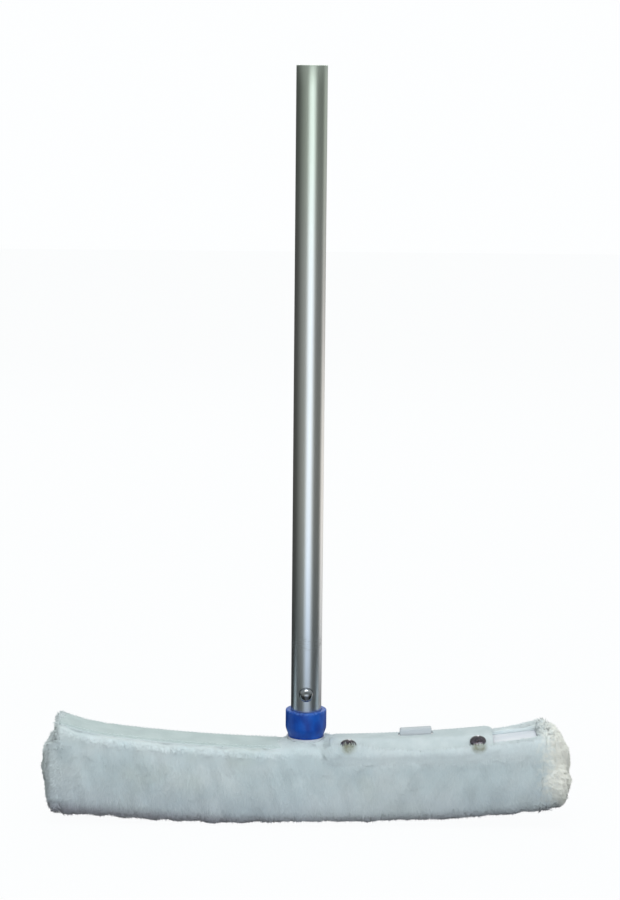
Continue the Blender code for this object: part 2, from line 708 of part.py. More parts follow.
def make_end_pad(name, side, length, share, look):
    """Crowned fleece pad that closes one end of the sleeve."""
    start = side * (HEAD_HALF_LENGTH - length)
    end = side * HEAD_HALF_LENGTH
    low = (min(start, end), -SLEEVE_HALF_DEPTH, 0)
    high = (max(start, end), SLEEVE_HALF_DEPTH, SLEEVE_TOP_Z)
    pad = block(name, low, high)
    round_fleece_edges(pad)
    made = bmesh.new()
    made.from_mesh(pad.data)
    for i in range(1, PAD_STEPS):
        out = math.sin(i / PAD_STEPS * math.pi / 2)
        bmesh.ops.bisect_plane(
            made,
            geom=made.verts[:] + made.edges[:] + made.faces[:],
            dist=WELD_DISTANCE,
            plane_co=(start + (end - start) * out, 0, 0),
            plane_no=(1, 0, 0),
        )
    for vertex in made.verts:
        out = max(0, PAD_CROWN_SHARE * (vertex.co.x - start) / (end - start))
        width = (1 - out**PAD_CROWN_POWER) ** (1 / PAD_CROWN_POWER)
        height = share * width if vertex.co.z > PAD_CENTRE_Z else width
        vertex.co.y *= width
        vertex.co.z = PAD_CENTRE_Z + height * (vertex.co.z - PAD_CENTRE_Z)
    made.to_mesh(pad.data)
    made.free()
    bow(pad)
    dress(pad, look)


def make_binding():
    """Smooth band over the closed half of the sleeve."""
    bottom = SLEEVE_TOP_Z + CONTACT_GAP
    low = (BAND_LEFT_X, BINDING_FRONT_Y, bottom)
    high = (BINDING_INNER_X, BINDING_BACK_Y, bottom + BINDING_THICKNESS)
    binding = block("top_binding", low, high)
    bevel_above(binding, BAND_EDGE_BEVEL, SMALL_BEVEL_STEPS, bottom + BINDING_THICKNESS / 2)
    bow(binding)
    dress(binding, "white_webbing")


def make_hem():
    """Band along the front edge of the slit, with a hole for each snap post."""
    hem = slope_block(
        "slit_hem", HEM_INNER_X, BAND_RIGHT_X, 0, HEM_WIDTH, CONTACT_GAP, HEM_TOP
    )
    bevel_sharp(hem, BAND_EDGE_BEVEL, SMALL_BEVEL_STEPS)
    bow(hem, lambda point: True)
    for x in SNAP_XS:
        place = snap_place(x)
        hole = rod("hole", POST_HOLE_RADIUS, -CUT_OVERRUN, CUT_OVERRUN, SMALL_ROUND_SIDES, place)
        cut(hem, hole)
    dress(hem, "white_webbing")


def flap_path():
    """Middle line of the flap, from its sewn edge over the bar and down the slope."""
    height = (FLAP_UNDERSIDE + FLAP_TOP) / 2
    path = [
        (FLAP_HINGE_Y, FLAP_HINGE_Z),
        (FLAP_SHOULDER_Y, FLAP_SHOULDER_Z),
        (FLAP_CROWN_BACK_Y, FLAP_CROWN_Z),
        (FLAP_CROWN_FRONT_Y, FLAP_CROWN_Z),
    ]
    for down in (FLAP_SLOPE_START, FLAP_SLOPE_END):
        point = SLOPE_ORIGIN + SLOPE_DIRECTION * down + SLOPE_NORMAL * height
        path.append((point.y, point.z))
    return path


def make_flap():
    """Closure flap with a window for the lug, turning about its sewn back edge."""
    flap = strip("closure_flap", flap_path(), FLAP_START_X, FLAP_END_X, FLAP_THICKNESS)
    bevel_sharp(flap, FLAP_EDGE_BEVEL, 1)
    half = LUG_LENGTH / 2 + LUG_SIDE_CLEARANCE
    low = (LUG_X - half, LUG_FRONT_Y - LUG_SWING_CLEARANCE, BAR_TOP_Z)
    high = (LUG_X + half, LUG_BACK_Y + LUG_SIDE_CLEARANCE, LUG_TOP_Z + CUT_OVERRUN)
    cut(flap, block("window", low, high))
    bow(flap, lambda point: True)
    for x in SNAP_XS:
        place = snap_place(x)
        hole = rod("hole", CAP_HOLE_RADIUS, 0, CUT_OVERRUN, SMALL_ROUND_SIDES, place)
        cut(flap, hole)
    middle = (FLAP_START_X + FLAP_END_X) / 2
    set_origin(flap, (middle, FLAP_HINGE_Y, FLAP_HINGE_Z + bow_rise(middle)))
    dress(flap, "flap_cloth")


def make_snap_cap(name, x):
    """Domed cap on the flap, with a shank through the cloth."""
    radius = CAP_DIAMETER / 2
    profile = [
        (0, SNAP_ROOF_BOTTOM + CONTACT_GAP),
        (CAP_SHANK_RADIUS, SNAP_ROOF_BOTTOM + CONTACT_GAP),
        (CAP_SHANK_RADIUS, CAP_BOTTOM),
        (radius, CAP_BOTTOM),
    ]
    dome = CAP_HEIGHT - CAP_EDGE_HEIGHT
    for i in range(DOME_STEPS):
        angle = i / DOME_STEPS * math.pi / 2
        height = CAP_BOTTOM + CAP_EDGE_HEIGHT + dome * math.sin(angle)
        profile.append((radius * math.cos(angle), height))
    profile.append((0, CAP_BOTTOM + CAP_HEIGHT))
    dress(turned(name, profile, SMALL_ROUND_SIDES, snap_place(x)), "snap_gunmetal")


def make_snap_socket(name, x):
    """Ring under the flap that takes the stud."""
    bore = SNAP_SOCKET_BORE_DIAMETER / 2
    profile = [
        (bore, SNAP_SOCKET_BOTTOM),
        (SNAP_SOCKET_DIAMETER / 2, SNAP_SOCKET_BOTTOM),
        (SNAP_SOCKET_DIAMETER / 2, SNAP_ROOF_TOP),
        (CAP_HOLE_RADIUS, SNAP_ROOF_TOP),
        (CAP_HOLE_RADIUS, SNAP_ROOF_BOTTOM),
        (bore, SNAP_ROOF_BOTTOM),
    ]
    dress(turned(name, profile, SMALL_ROUND_SIDES, snap_place(x)), "snap_brass")


def make_snap_stud(name, x):
    """Flanged knob on the hem, hollow for the post."""
    bore = POST_SHANK_RADIUS + BUTTON_CLEARANCE
    knob = STUD_KNOB_DIAMETER / 2
    lip = (STUD_TOP - STUD_FLANGE_TOP) / 4
    profile = [
        (bore, STUD_BOTTOM),
        (STUD_FLANGE_DIAMETER / 2, STUD_BOTTOM),
        (STUD_FLANGE_DIAMETER / 2, STUD_FLANGE_TOP),
        (knob, STUD_FLANGE_TOP),
        (knob, STUD_TOP - lip),
        (knob - lip, STUD_TOP),
        (0, STUD_TOP),
        (0, STUD_BOTTOM + STUD_BORE_DEPTH),
        (bore, STUD_BOTTOM + STUD_BORE_DEPTH),
    ]
    dress(turned(name, profile, SMALL_ROUND_SIDES, snap_place(x)), "snap_brass")


def make_snap_post(name, x):
    """Rivet from below the hem: a disc in the fleece and a shank into the stud."""
    top = STUD_BOTTOM + STUD_BORE_DEPTH - CONTACT_GAP
    disc_bottom = CONTACT_GAP - POST_SEAT_DEPTH
    disc_top = disc_bottom + POST_DISC_THICKNESS
    profile = [
        (0, disc_bottom),
        (POST_DISC_DIAMETER / 2, disc_bottom),
        (POST_DISC_DIAMETER / 2, disc_top),
        (POST_SHANK_RADIUS, disc_top),
        (POST_SHANK_RADIUS, top),
        (0, top),
    ]
    dress(turned(name, profile, SMALL_ROUND_SIDES, snap_place(x)), "snap_brass")


def make_snaps():
    for side, x in zip(("inner", "outer"), SNAP_XS):
        make_snap_cap("snap_cap_" + side, x)
        make_snap_socket("snap_socket_" + side, x)
        make_snap_stud("snap_stud_" + side, x)
        make_snap_post("snap_post_" + side, x)


def hang_on_flap():
    """Parents the caps and sockets to the flap that carries them."""
    bpy.context.view_layer.update()
    flap = bpy.data.objects["closure_flap"]
    for side in ("inner", "outer"):
        for kind in ("snap_cap_", "snap_socket_"):
            piece = bpy.data.objects[kind + side]
            piece.parent = flap
            piece.matrix_parent_inverse = flap.matrix_world.inverted()


def main():
    clear_scene()
    make_pole()
    make_socket()
    make_button()
    make_spring()
    make_bolt()
    make_washer()
    make_nut()
    make_crossbar()
    make_sleeve()
    make_end_pad("sleeve_end_left", -1, LEFT_PAD_LENGTH, LEFT_PAD_SHARE, "white_fleece")
    make_end_pad("sleeve_end_right", 1, RIGHT_PAD_LENGTH, RIGHT_PAD_SHARE, "cream_fleece")
    make_binding()
    make_hem()
    make_flap()
    make_snaps()
    hang_on_flap()


main()
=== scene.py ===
# %% [markdown]
# # Floor wax applicator
#
# The real tool is an aluminium tube in a blue socket, on a bowed plastic crossbar that wears
# a fleece sleeve. The measured model already holds every solid in its true place and size.
# This lesson dresses it: smooth metal and plastic, soft pile, woven bands, thread and wear.

import math

import bmesh
import bpy
import numpy as np
from mathutils import Matrix, Vector


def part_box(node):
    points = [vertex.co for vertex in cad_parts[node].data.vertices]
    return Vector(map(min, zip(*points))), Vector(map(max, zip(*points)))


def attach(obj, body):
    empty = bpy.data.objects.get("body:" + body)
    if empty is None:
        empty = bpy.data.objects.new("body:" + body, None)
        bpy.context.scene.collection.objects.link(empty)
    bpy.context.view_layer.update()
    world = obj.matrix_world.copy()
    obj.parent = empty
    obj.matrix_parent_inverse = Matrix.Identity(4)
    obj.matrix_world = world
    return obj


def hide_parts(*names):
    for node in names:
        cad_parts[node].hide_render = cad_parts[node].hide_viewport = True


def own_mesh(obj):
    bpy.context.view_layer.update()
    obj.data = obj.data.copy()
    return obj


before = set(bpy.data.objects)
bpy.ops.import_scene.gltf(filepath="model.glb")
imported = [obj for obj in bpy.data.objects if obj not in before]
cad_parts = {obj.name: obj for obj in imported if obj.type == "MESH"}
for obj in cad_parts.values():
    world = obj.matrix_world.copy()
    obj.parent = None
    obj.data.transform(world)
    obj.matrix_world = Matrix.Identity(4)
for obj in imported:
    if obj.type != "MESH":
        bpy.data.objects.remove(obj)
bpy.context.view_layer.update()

# %% [markdown]
# ## Camera
#
# The picture of the real tool was taken from about two metres, a little above the head and
# tilted down nine degrees. The same place and tilt give the same perspective here.

# %% Camera
CAMERA_PLACE = (0.0012, -2.035, 0.641)
TILT_DOWN = math.radians(9.1)
ROLL = math.radians(0.55)


def added(name, data):
    """A new object at the origin with this data, linked to the scene."""
    made = bpy.data.objects.new(name, data)
    bpy.context.scene.collection.objects.link(made)
    return made


lens = bpy.data.cameras.new("camera")
lens.lens = 100
lens.sensor_width = 36
camera = added("camera", lens)
aim = Matrix.Rotation(math.pi / 2 - TILT_DOWN, 4, "X") @ Matrix.Rotation(ROLL, 4, "Z")
camera.matrix_world = Matrix.Translation(CAMERA_PLACE) @ aim
bpy.context.scene.camera = camera
print("camera at", CAMERA_PLACE)

# %% [markdown]
# ## From arrays to meshes
#
# Every new piece is worked out as whole numpy arrays of points. A grid of points becomes
# quads that join each point to the next in its row and its column. If the closed shape comes
# out inside out, all its faces are turned round at once.


# %% Mesh helpers
def grid_quads(rows, columns, loop_rows=False, loop_columns=False):
    """Quad (r, c) joins the points (r, c), (r+1, c), (r+1, c+1) and (r, c+1) of a grid."""
    r = np.arange(rows if loop_rows else rows - 1)
    c = np.arange(columns if loop_columns else columns - 1)
    r, c = np.meshgrid(r, c, indexing="ij")
    down, right = (r + 1) % rows, (c + 1) % columns
    quads = [r * columns + c, down * columns + c, down * columns + right, r * columns + right]
    return np.stack(quads, axis=-1).reshape(-1, 4)


def volume_of(points, face_sets):
    """Sum over fan triangles of a . (b x c) / 6, which is negative if the faces look inwards."""
    total = 0.0
    for faces in face_sets:
        for k in range(1, faces.shape[1] - 1):
            a, b, c = points[faces[:, 0]], points[faces[:, k]], points[faces[:, k + 1]]
            total += (a * np.cross(b, c)).sum() / 6
    return total


def piece_from(name, points, *face_sets, closed=True):
    """Puts the arrays into a smooth-shaded mesh object at the origin."""
    points = np.ascontiguousarray(points, float).reshape(-1, 3)
    face_sets = [np.asarray(faces, np.int32) for faces in face_sets if len(faces)]
    if closed and volume_of(points, face_sets) < 0:
        face_sets = [faces[:, ::-1] for faces in face_sets]
    counts = np.concatenate([np.full(len(f), f.shape[1]) for f in face_sets])
    corners = np.concatenate([f.ravel() for f in face_sets]).astype(np.int32)
    mesh = bpy.data.meshes.new(name)
    mesh.vertices.add(len(points))
    mesh.vertices.foreach_set("co", points.ravel())
    mesh.loops.add(len(corners))
    mesh.loops.foreach_set("vertex_index", corners)
    mesh.polygons.add(len(counts))
    mesh.polygons.foreach_set("loop_start", np.r_[0, np.cumsum(counts)[:-1]].astype(np.int32))
    mesh.update(calc_edges=True)
    mesh.validate()
    mesh.shade_smooth()
    return added(name, mesh)


def apply_all(piece):
    """Replaces the piece's mesh with the one its modifiers give."""
    bpy.context.view_layer.update()
    graph = bpy.context.evaluated_depsgraph_get()
    made = bpy.data.meshes.new_from_object(piece.evaluated_get(graph))
    piece.modifiers.clear()
    piece.data = made
    made.name = piece.name
    return piece


SHARP = math.radians(32)


def merge_points(source, target, distance):
    """Writes the source mesh into the target with the points under this distance merged."""
    clean = bmesh.new()
    clean.from_mesh(source)
    bmesh.ops.remove_doubles(clean, verts=clean.verts, dist=distance)
    clean.to_mesh(target)
    clean.free()


def bored(piece, *cutters):
    """Cuts the closed cutters out of the piece, merges its points and keeps its edges sharp."""
    for cutter in cutters:
        step = piece.modifiers.new("bore", "BOOLEAN")
        step.operation, step.solver, step.object = "DIFFERENCE", "EXACT", cutter
        apply_all(piece)
        bpy.data.objects.remove(cutter, do_unlink=True)
    merge_points(piece.data, piece.data, 1e-5)
    piece.data.set_sharp_from_angle(angle=SHARP)
    return piece


def placed(points, place):
    """Points carried by a 4 x 4 matrix."""
    turn = np.array(place)
    return points @ turn[:3, :3].T + turn[:3, 3]


def smooth_copy(node, name):
    """A copy of a measured mesh, merged and shaded smooth between its sharp edges."""
    mesh = bpy.data.meshes.new(name)
    merge_points(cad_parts[node].data, mesh, 1e-6)
    mesh.shade_smooth()
    mesh.set_sharp_from_angle(angle=SHARP)
    return added(name, mesh)


print("helpers ready")

# %% [markdown]
# ## Outlines with soft corners
#
# Moulded, turned and sewn things have no knife edges. One helper rounds each corner of an
# outline with a short curve and adds a holding point beside it, so that flat parts stay flat
# when they are shaded smooth.


# %% Rounded outlines and turned forms
def rounded(corners, trims, runs, arc=6):
    """Closed outline through corners, each replaced by (1-s)^2 A + 2s(1-s) P + s^2 B.

    A and B lie on the two sides of corner P at its trim, and runs gives how many points lie
    on the straight side after each corner. Leading axes of corners are kept."""
    corners = np.asarray(corners, float)
    to_last = np.roll(corners, 1, axis=-2) - corners
    to_next = np.roll(corners, -1, axis=-2) - corners
    last = np.linalg.norm(to_last, axis=-1, keepdims=True)
    following = np.linalg.norm(to_next, axis=-1, keepdims=True)
    trims = np.broadcast_to(trims, corners.shape[:-1])[..., None]
    a = corners + to_last / last * np.minimum(trims, 0.45 * last)
    b = corners + to_next / following * np.minimum(trims, 0.45 * following)
    s = np.linspace(0, 1, arc)[:, None]
    outline = []
    for k, run in enumerate(runs):
        here, start, end = (v[..., k, None, :] for v in (corners, a, b))
        outline.append((1 - s) ** 2 * start + 2 * s * (1 - s) * here + s**2 * end)
        onward = a[..., (k + 1) % len(runs), None, :]
        r = np.linspace(0, 1, run + 2)[1:-1, None]
        r = np.concatenate([[[0.06]], r, [[0.94]]]) if run < 3 else r
        outline.append(end + (onward - end) * r)
    return np.concatenate(outline, axis=-2)


UPRIGHT = Matrix.Identity(4)


def vectors(*parts):
    """Points or directions from their parts, of which some may be single numbers."""
    return np.stack(np.broadcast_arrays(*parts), axis=-1)


def spun(profile, sides):
    """Point (r, h) of the profile goes to (r cos a, r sin a, h) for every angle a."""
    angle = np.arange(sides) * 2 * math.pi / sides
    r, h = profile[:, 0, None], profile[:, 1, None]
    return vectors(r * np.cos(angle), r * np.sin(angle), h).reshape(-1, 3)


def turned(name, profile, sides, place=UPRIGHT):
    """A closed profile spun round the axis of its place."""
    points = placed(spun(np.asarray(profile, float), sides), place)
    return piece_from(name, points, grid_quads(len(profile), sides, True, True))


def capped(name, profile, sides, place=UPRIGHT):
    """Like turned, for a profile that starts and ends on the axis: fans close its two poles."""
    profile = np.asarray(profile, float)
    points = spun(profile[1:-1], sides)
    poles = [[0, 0, profile[0, 1]], [0, 0, profile[-1, 1]]]
    rows = len(profile) - 2
    ring = np.arange(sides)
    after = (ring + 1) % sides
    first = np.stack([ring * 0 + rows * sides, after, ring], axis=-1)
    base = (rows - 1) * sides
    last = np.stack([ring * 0 + rows * sides + 1, base + ring, base + after], axis=-1)
    points = placed(np.concatenate([points, poles]), place)
    quads = grid_quads(rows, sides, False, True)[:, ::-1]
    return piece_from(name, points, quads, first, last)


def open_rounded(corners, trim, arc):
    """Open profile whose inner corners are rounded as in rounded()."""
    corners = np.asarray(corners, float)
    a = corners[:-2] - corners[1:-1]
    b = corners[2:] - corners[1:-1]
    size_a = np.linalg.norm(a, axis=1, keepdims=True)
    size_b = np.linalg.norm(b, axis=1, keepdims=True)
    start = corners[1:-1] + a / size_a * np.minimum(trim, 0.45 * size_a)
    end = corners[1:-1] + b / size_b * np.minimum(trim, 0.45 * size_b)
    s = np.linspace(0, 1, arc)[:, None, None]
    curve = (1 - s) ** 2 * start + 2 * s * (1 - s) * corners[1:-1] + s**2 * end
    curve = curve.transpose(1, 0, 2).reshape(-1, 2)
    return np.concatenate([corners[:1], curve, corners[-1:]])


def facing_front(height):
    """Frame whose Z axis points out of the tube towards the front, at this height."""
    return Matrix.Translation((0, 0, height)) @ Matrix.Rotation(math.pi / 2, 4, "X")


print("outline helpers ready")

# %% [markdown]
# ## Shader arithmetic
#
# A finish is easier to read as a sum than as a web of nodes. The Value class wraps a node's
# output, so that `1 - mask * 0.5` adds the Math nodes by itself. Colours go through Mix
# nodes, because a Math node would turn them grey.


# %% Values and node trees
class Value:
    """The output of a node, used like a number."""

    def __init__(self, nodes, socket):
        self.nodes = nodes
        self.socket = socket

    def maths(self, operation, *numbers):
        return self.nodes.node("Math", {"operation": operation}, dict(enumerate(numbers)))

    def __add__(self, other):
        return self.maths("ADD", self, other)

    def __sub__(self, other):
        return self.maths("SUBTRACT", self, other)

    def __rsub__(self, other):
        return self.maths("SUBTRACT", other, self)

    def __mul__(self, other):
        return self.maths("MULTIPLY", self, other)

    def __pow__(self, other):
        return self.maths("POWER", self, other)

    __radd__ = __add__
    __rmul__ = __mul__

    def over(self, low, high):
        """Rises smoothly from 0 to 1 as the value goes from low to high."""
        ends = {"Value": self, "From Min": low, "From Max": high}
        return self.nodes.node("MapRange", {"interpolation_type": "SMOOTHSTEP"}, ends)


class Nodes:
    """The node tree of a material, or of the world."""

    def __init__(self, owner):
        owner.use_nodes = True
        self.tree = owner.node_tree

    def feed(self, socket, value):
        if isinstance(value, Value):
            self.tree.links.new(value.socket, socket)
        else:
            socket.default_value = value

    def node(self, kind, settings=None, inputs=None, output=0):
        made = self.tree.nodes.new("ShaderNode" + kind)
        for name, value in (settings or {}).items():
            setattr(made, name, value)
        for name, value in (inputs or {}).items():
            self.feed(made.inputs[name], value)
        return Value(self, made.outputs[output])

    def mix(self, factor, first, second):
        """Colour that goes from the first to the second as the factor goes from 0 to 1."""
        return self.node("Mix", {"data_type": "RGBA"}, {0: factor, 6: first, 7: second}, 2)

    def place(self):
        """The piece's own coordinates, in metres."""
        return self.node("TexCoord", output="Object")

    def axes(self, vector):
        """The three parts of a vector."""
        first = self.node("SeparateXYZ", inputs={0: vector})
        outputs = first.socket.node.outputs
        return [Value(self, outputs[k]) for k in range(3)]

    def stretched(self, vector, x, y, z):
        return self.node("VectorMath", {"operation": "MULTIPLY"}, {0: vector, 1: (x, y, z)})

    def noise(self, vector, scale, detail):
        return self.node("TexNoise", {}, {"Vector": vector, "Scale": scale, "Detail": detail})

    def waves(self, vector, axis, scale, distortion):
        """Bands from 0 to 1 along one axis, which repeat every pi / (10 scale) metres."""
        settings = {"wave_type": "BANDS", "bands_direction": axis}
        inputs = {"Vector": vector, "Scale": scale, "Distortion": distortion}
        return self.node("TexWave", settings, inputs)

    def bump(self, height, strength, distance):
        inputs = {"Height": height, "Strength": strength, "Distance": distance}
        return self.node("Bump", {}, inputs)


class Finish(Nodes):
    """A material with one Principled shader."""

    def __init__(self, name, **constants):
        self.material = bpy.data.materials.new(name)
        super().__init__(self.material)
        self.shader = self.tree.nodes["Principled BSDF"]
        self.give(constants)

    def give(self, inputs):
        for name, value in inputs.items():
            self.feed(self.shader.inputs[name.replace("_", " ")], value)


def paint(red, green, blue):
    """Screen colour from 0 to 255 as the linear colour that a shader takes."""
    screen = np.array([red, green, blue]) / 255
    linear = np.where(screen <= 0.04045, screen / 12.92, ((screen + 0.055) / 1.055) ** 2.4)
    return (*linear.tolist(), 1.0)


def settle(piece, body, slot, finish, *nodes):
    """Gives a piece its finish and its body, and hides the solids that it stands for. The slot is
    not used.
    """
    piece.data.materials.clear()
    piece.data.materials.append(finish.material)
    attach(piece, body)
    if nodes:
        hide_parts(*nodes)
    faces = len(piece.data.loop_triangles) or len(piece.data.polygons)
    print(piece.name, "faces", faces)
    return piece


print("shader helpers ready")

# %% [markdown]
# ## Satin aluminium
#
# The tube is drawn through a die and anodised, which leaves hair-fine lines along it and a
# satin shine. Noise that is stretched along the tube moves the roughness and the bump. A
# painted reflection shifts the colour a little from green grey at the top to blue grey at the
# foot, and rubbing has dulled a band above the socket.

# %% Aluminium finish
aluminium = Finish("anodised_aluminium", Metallic=1.0)
spot = aluminium.place()
_, _, up = aluminium.axes(spot)
lines = aluminium.noise(aluminium.stretched(spot, 1, 1, 0.012), 1400, 3.0)
smears = aluminium.noise(aluminium.stretched(spot, 1, 1, 0.12), 90, 3.0)
scuff = aluminium.noise(aluminium.stretched(spot, 0.25, 0.25, 1), 900, 2.0)
band = up.over(0.146, 0.152) * (1 - up.over(0.155, 0.162)) * scuff.over(0.5, 0.62)
# Painted reflection: the colour goes from green grey at the top to blue grey at the foot.
reflection_tint_and_wear = aluminium.mix(up.over(0.42, 0.60), (0.80, 0.81, 0.83, 1), (0.70, 0.77, 0.70, 1))
reflection_tint_and_wear = aluminium.mix(1 - up.over(0.12, 0.30), reflection_tint_and_wear, (0.66, 0.72, 0.80, 1))
reflection_tint_and_wear = aluminium.mix(band * 0.35, reflection_tint_and_wear, (0.42, 0.43, 0.45, 1))
reflection_tint_and_wear = aluminium.mix(lines.over(0.35, 0.75) * 0.18, reflection_tint_and_wear, (0.55, 0.56, 0.57, 1))
aluminium.give(
    {
        "Base Color": reflection_tint_and_wear,
        "Roughness": 0.25 + lines * 0.06 + smears * 0.06 + band * 0.15,
        "Normal": aluminium.bump(lines, 0.25, 0.00004),
    }
)
print("aluminium ready")

# %% [markdown]
# ## Handle tube
#
# A tube is the simplest turned form: a thin closed profile carried round the axis. Its rims
# are broken by a small radius, and the hole for the push button is cut through one wall.

# %% Handle tube
low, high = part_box("pole_tube")
TUBE_RADIUS = round(high.x, 4)
TUBE_WALL = 0.0012
BUTTON_HEIGHT = 0.1107
BUTTON_HOLE = 0.00605

profile = rounded(
    [
        (TUBE_RADIUS - TUBE_WALL, low.z),
        (TUBE_RADIUS, low.z),
        (TUBE_RADIUS, high.z),
        (TUBE_RADIUS - TUBE_WALL, high.z),
    ],
    0.0004,
    [1, 28, 1, 28],
    arc=4,
)
tube = turned("handle_tube", profile, 128)


def plug(radius, start, end, height):
    """Closed cylinder that points to the front at a height, used as a cutter."""
    outline = [(0, start), (radius, start), (radius, end), (0, end)]
    return capped("plug", outline, 64, facing_front(height))


bored(tube, plug(BUTTON_HOLE, 0.004, 0.03, BUTTON_HEIGHT))
settle(tube, "applicator", "anodised_aluminium", aluminium, "pole_tube")

# %% [markdown]
# ## Blue socket
#
# The socket is moulded in deep blue plastic: a collar round the tube, a cone below it and a
# spigot inside. Moulded plastic has a faint grain, darker flow marks, and pale rubbed edges.

# %% Blue plastic finish
blue = Finish("blue_plastic", IOR=1.49)
spot = blue.place()
_, _, up = blue.axes(spot)
grain = blue.noise(spot, 2600, 2.0)
clouds = blue.noise(blue.stretched(spot, 1, 1, 0.6), 120, 3.0)
rub = up.over(0.0925, 0.0952) * blue.noise(spot, 420, 2.0).over(0.42, 0.7)
base = blue.mix(clouds.over(0.3, 0.75), paint(8, 54, 142), paint(14, 82, 178))
base = blue.mix(rub * 0.55, base, paint(92, 134, 204))
blue.give(
    {
        "Base Color": base,
        "Roughness": 0.36 + grain * 0.12 + rub * 0.15,
        "Normal": blue.bump(grain, 0.25, 0.00006),
    }
)
print("blue plastic ready")

# %% Socket body
COLLAR_RADIUS = 0.0171
COLLAR_RIM = 0.0954
GROOVE_FLOOR = 0.0759
SPIGOT_RADIUS = 0.0113
SPIGOT_TIP = 0.1504
SPIGOT_BORE = 0.0080
SOCKET_FOOT = 0.0650
BOLT_HOLE = 0.0033
GROOVE_WALL = 0.0129
NUT_HALF = 0.0053
NUT_SEAT = 0.0775
NUT_TOP = 0.0831

corners = [
    (BOLT_HOLE, SOCKET_FOOT),
    (0.0118, SOCKET_FOOT),
    (COLLAR_RADIUS, 0.0800),
    (COLLAR_RADIUS, COLLAR_RIM),
    (GROOVE_WALL, COLLAR_RIM),
    (GROOVE_WALL, GROOVE_FLOOR),
    (SPIGOT_RADIUS, GROOVE_FLOOR),
    (SPIGOT_RADIUS, SPIGOT_TIP),
    (SPIGOT_BORE, SPIGOT_TIP),
    (SPIGOT_BORE, NUT_TOP),
    (BOLT_HOLE, NUT_TOP),
]
trims = [0.0003, 0.0008, 0.0016, 0.0011, 0.0006, 0.0003, 0.0003, 0.0012, 0.0005, 0.0003, 0.0003]
socket = turned("blue_socket", rounded(corners, trims, [1] * len(corners), arc=5), 128)

flats = np.arange(6) * math.pi / 3
across = NUT_HALF / math.cos(math.pi / 6)
hexagon = vectors(across * np.cos(flats), across * np.sin(flats))
pocket = np.column_stack([np.r_[hexagon, hexagon], np.repeat([NUT_SEAT, NUT_TOP + 0.002], 6)])
lids = np.array([range(5, -1, -1), range(6, 12)])
nut_pocket = piece_from("nut_pocket", pocket, grid_quads(2, 6, False, True)[:, ::-1], lids)
bored(socket, nut_pocket, plug(BUTTON_HOLE, 0.0, 0.03, BUTTON_HEIGHT))
settle(socket, "applicator", "blue_plastic", blue, "socket_body")

# %% [markdown]
# ## Push button
#
# The button that locks the tube is pressed from thin steel and polished. It is a dome on a
# short wall with a flange behind, and thumbs leave it smeared. Behind it sits a leaf spring,
# a smoothed copy of its measured mesh. The bolt, its washer and nut keep their measured
# meshes and get a zinc finish, because only their ends ever show.


# %% Steel finishes
def bare_metal(name, scale, detail, start, first, second, smooth, swing):
    """Metal whose colour and roughness drift together, by one noise over its surface."""
    made = Finish(name, Metallic=1.0)
    drift = made.noise(made.place(), scale, detail)
    colour = made.mix(drift.over(start, 0.7), (*first, 1), (*second, 1))
    made.give({"Base Color": colour, "Roughness": smooth + drift * swing})
    return made, drift


polished, _ = bare_metal(
    "button_steel", 420, 3.0, 0.35, (0.28, 0.30, 0.34), (0.42, 0.43, 0.46), 0.15, 0.06
)
spring_steel, _ = bare_metal(
    "spring_steel", 300, 2.0, 0.3, (0.33, 0.34, 0.37), (0.43, 0.42, 0.39), 0.28, 0.14
)
zinc, crystal = bare_metal(
    "zinc_steel", 900, 2.0, 0.3, (0.50, 0.51, 0.50), (0.62, 0.62, 0.60), 0.3, 0.2
)
zinc.give({"Normal": zinc.bump(crystal, 0.2, 0.00005)})
print("steels ready")

# %% Push button and hidden fasteners
DOME_TIP = 0.0182
DOME_RADIUS = 0.00585
DOME_RISE = 0.0042
HOLLOW_RADIUS = 0.0043
FLANGE_BACK = 0.0030
angle = np.linspace(0, math.pi / 2, 14)
dome = vectors(DOME_RADIUS * np.cos(angle), DOME_TIP - DOME_RISE + DOME_RISE * np.sin(angle))
hollow = vectors(HOLLOW_RADIUS * np.sin(angle), DOME_TIP - 0.0063 + 0.0012 * np.cos(angle))
dome[-1, 0] = hollow[0, 0] = 0
skirt = [
    (DOME_RADIUS, 0.0044),
    (DOME_RADIUS, 0.0041),
    (0.0066, 0.0040),
    (0.0067, 0.0038),
    (0.0067, 0.0031),
    (0.0066, FLANGE_BACK),
    (HOLLOW_RADIUS, FLANGE_BACK),
]
profile = np.concatenate([dome[::-1], skirt, hollow[::-1]])
button = capped("dome_button", profile, 64, facing_front(BUTTON_HEIGHT))
settle(button, "button", "button_steel", polished, "push_button")

spring = smooth_copy("button_spring", "leaf_spring")
settle(spring, "applicator", "spring_steel", spring_steel, "button_spring")
front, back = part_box("button_spring")
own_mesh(spring)

for node in ("socket_bolt", "bolt_washer", "captive_nut"):
    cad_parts[node].data.materials.clear()
    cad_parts[node].data.materials.append(zinc.material)
print("hidden fasteners finished")

# %% [markdown]
# ## Crossbar
#
# The crossbar is one grey moulding with a cup for the socket and a lug for the flap. Its
# measured mesh is right, but it is loose triangles, so a copy is merged and shaded smooth.
# Flow marks run along it, and the top of the lug is a darker grey.

# %% Crossbar
grey = Finish("grey_plastic", IOR=1.5)
spot = grey.place()
grain = grey.noise(spot, 1800, 2.0)
flow = grey.noise(grey.stretched(spot, 0.25, 1, 1), 90, 3.0)
dust = grey.noise(spot, 260, 4.0).over(0.55, 0.8)
base = grey.mix(flow.over(0.3, 0.7), (0.59, 0.62, 0.69, 1), (0.68, 0.70, 0.75, 1))
x, _, up = grey.axes(spot)
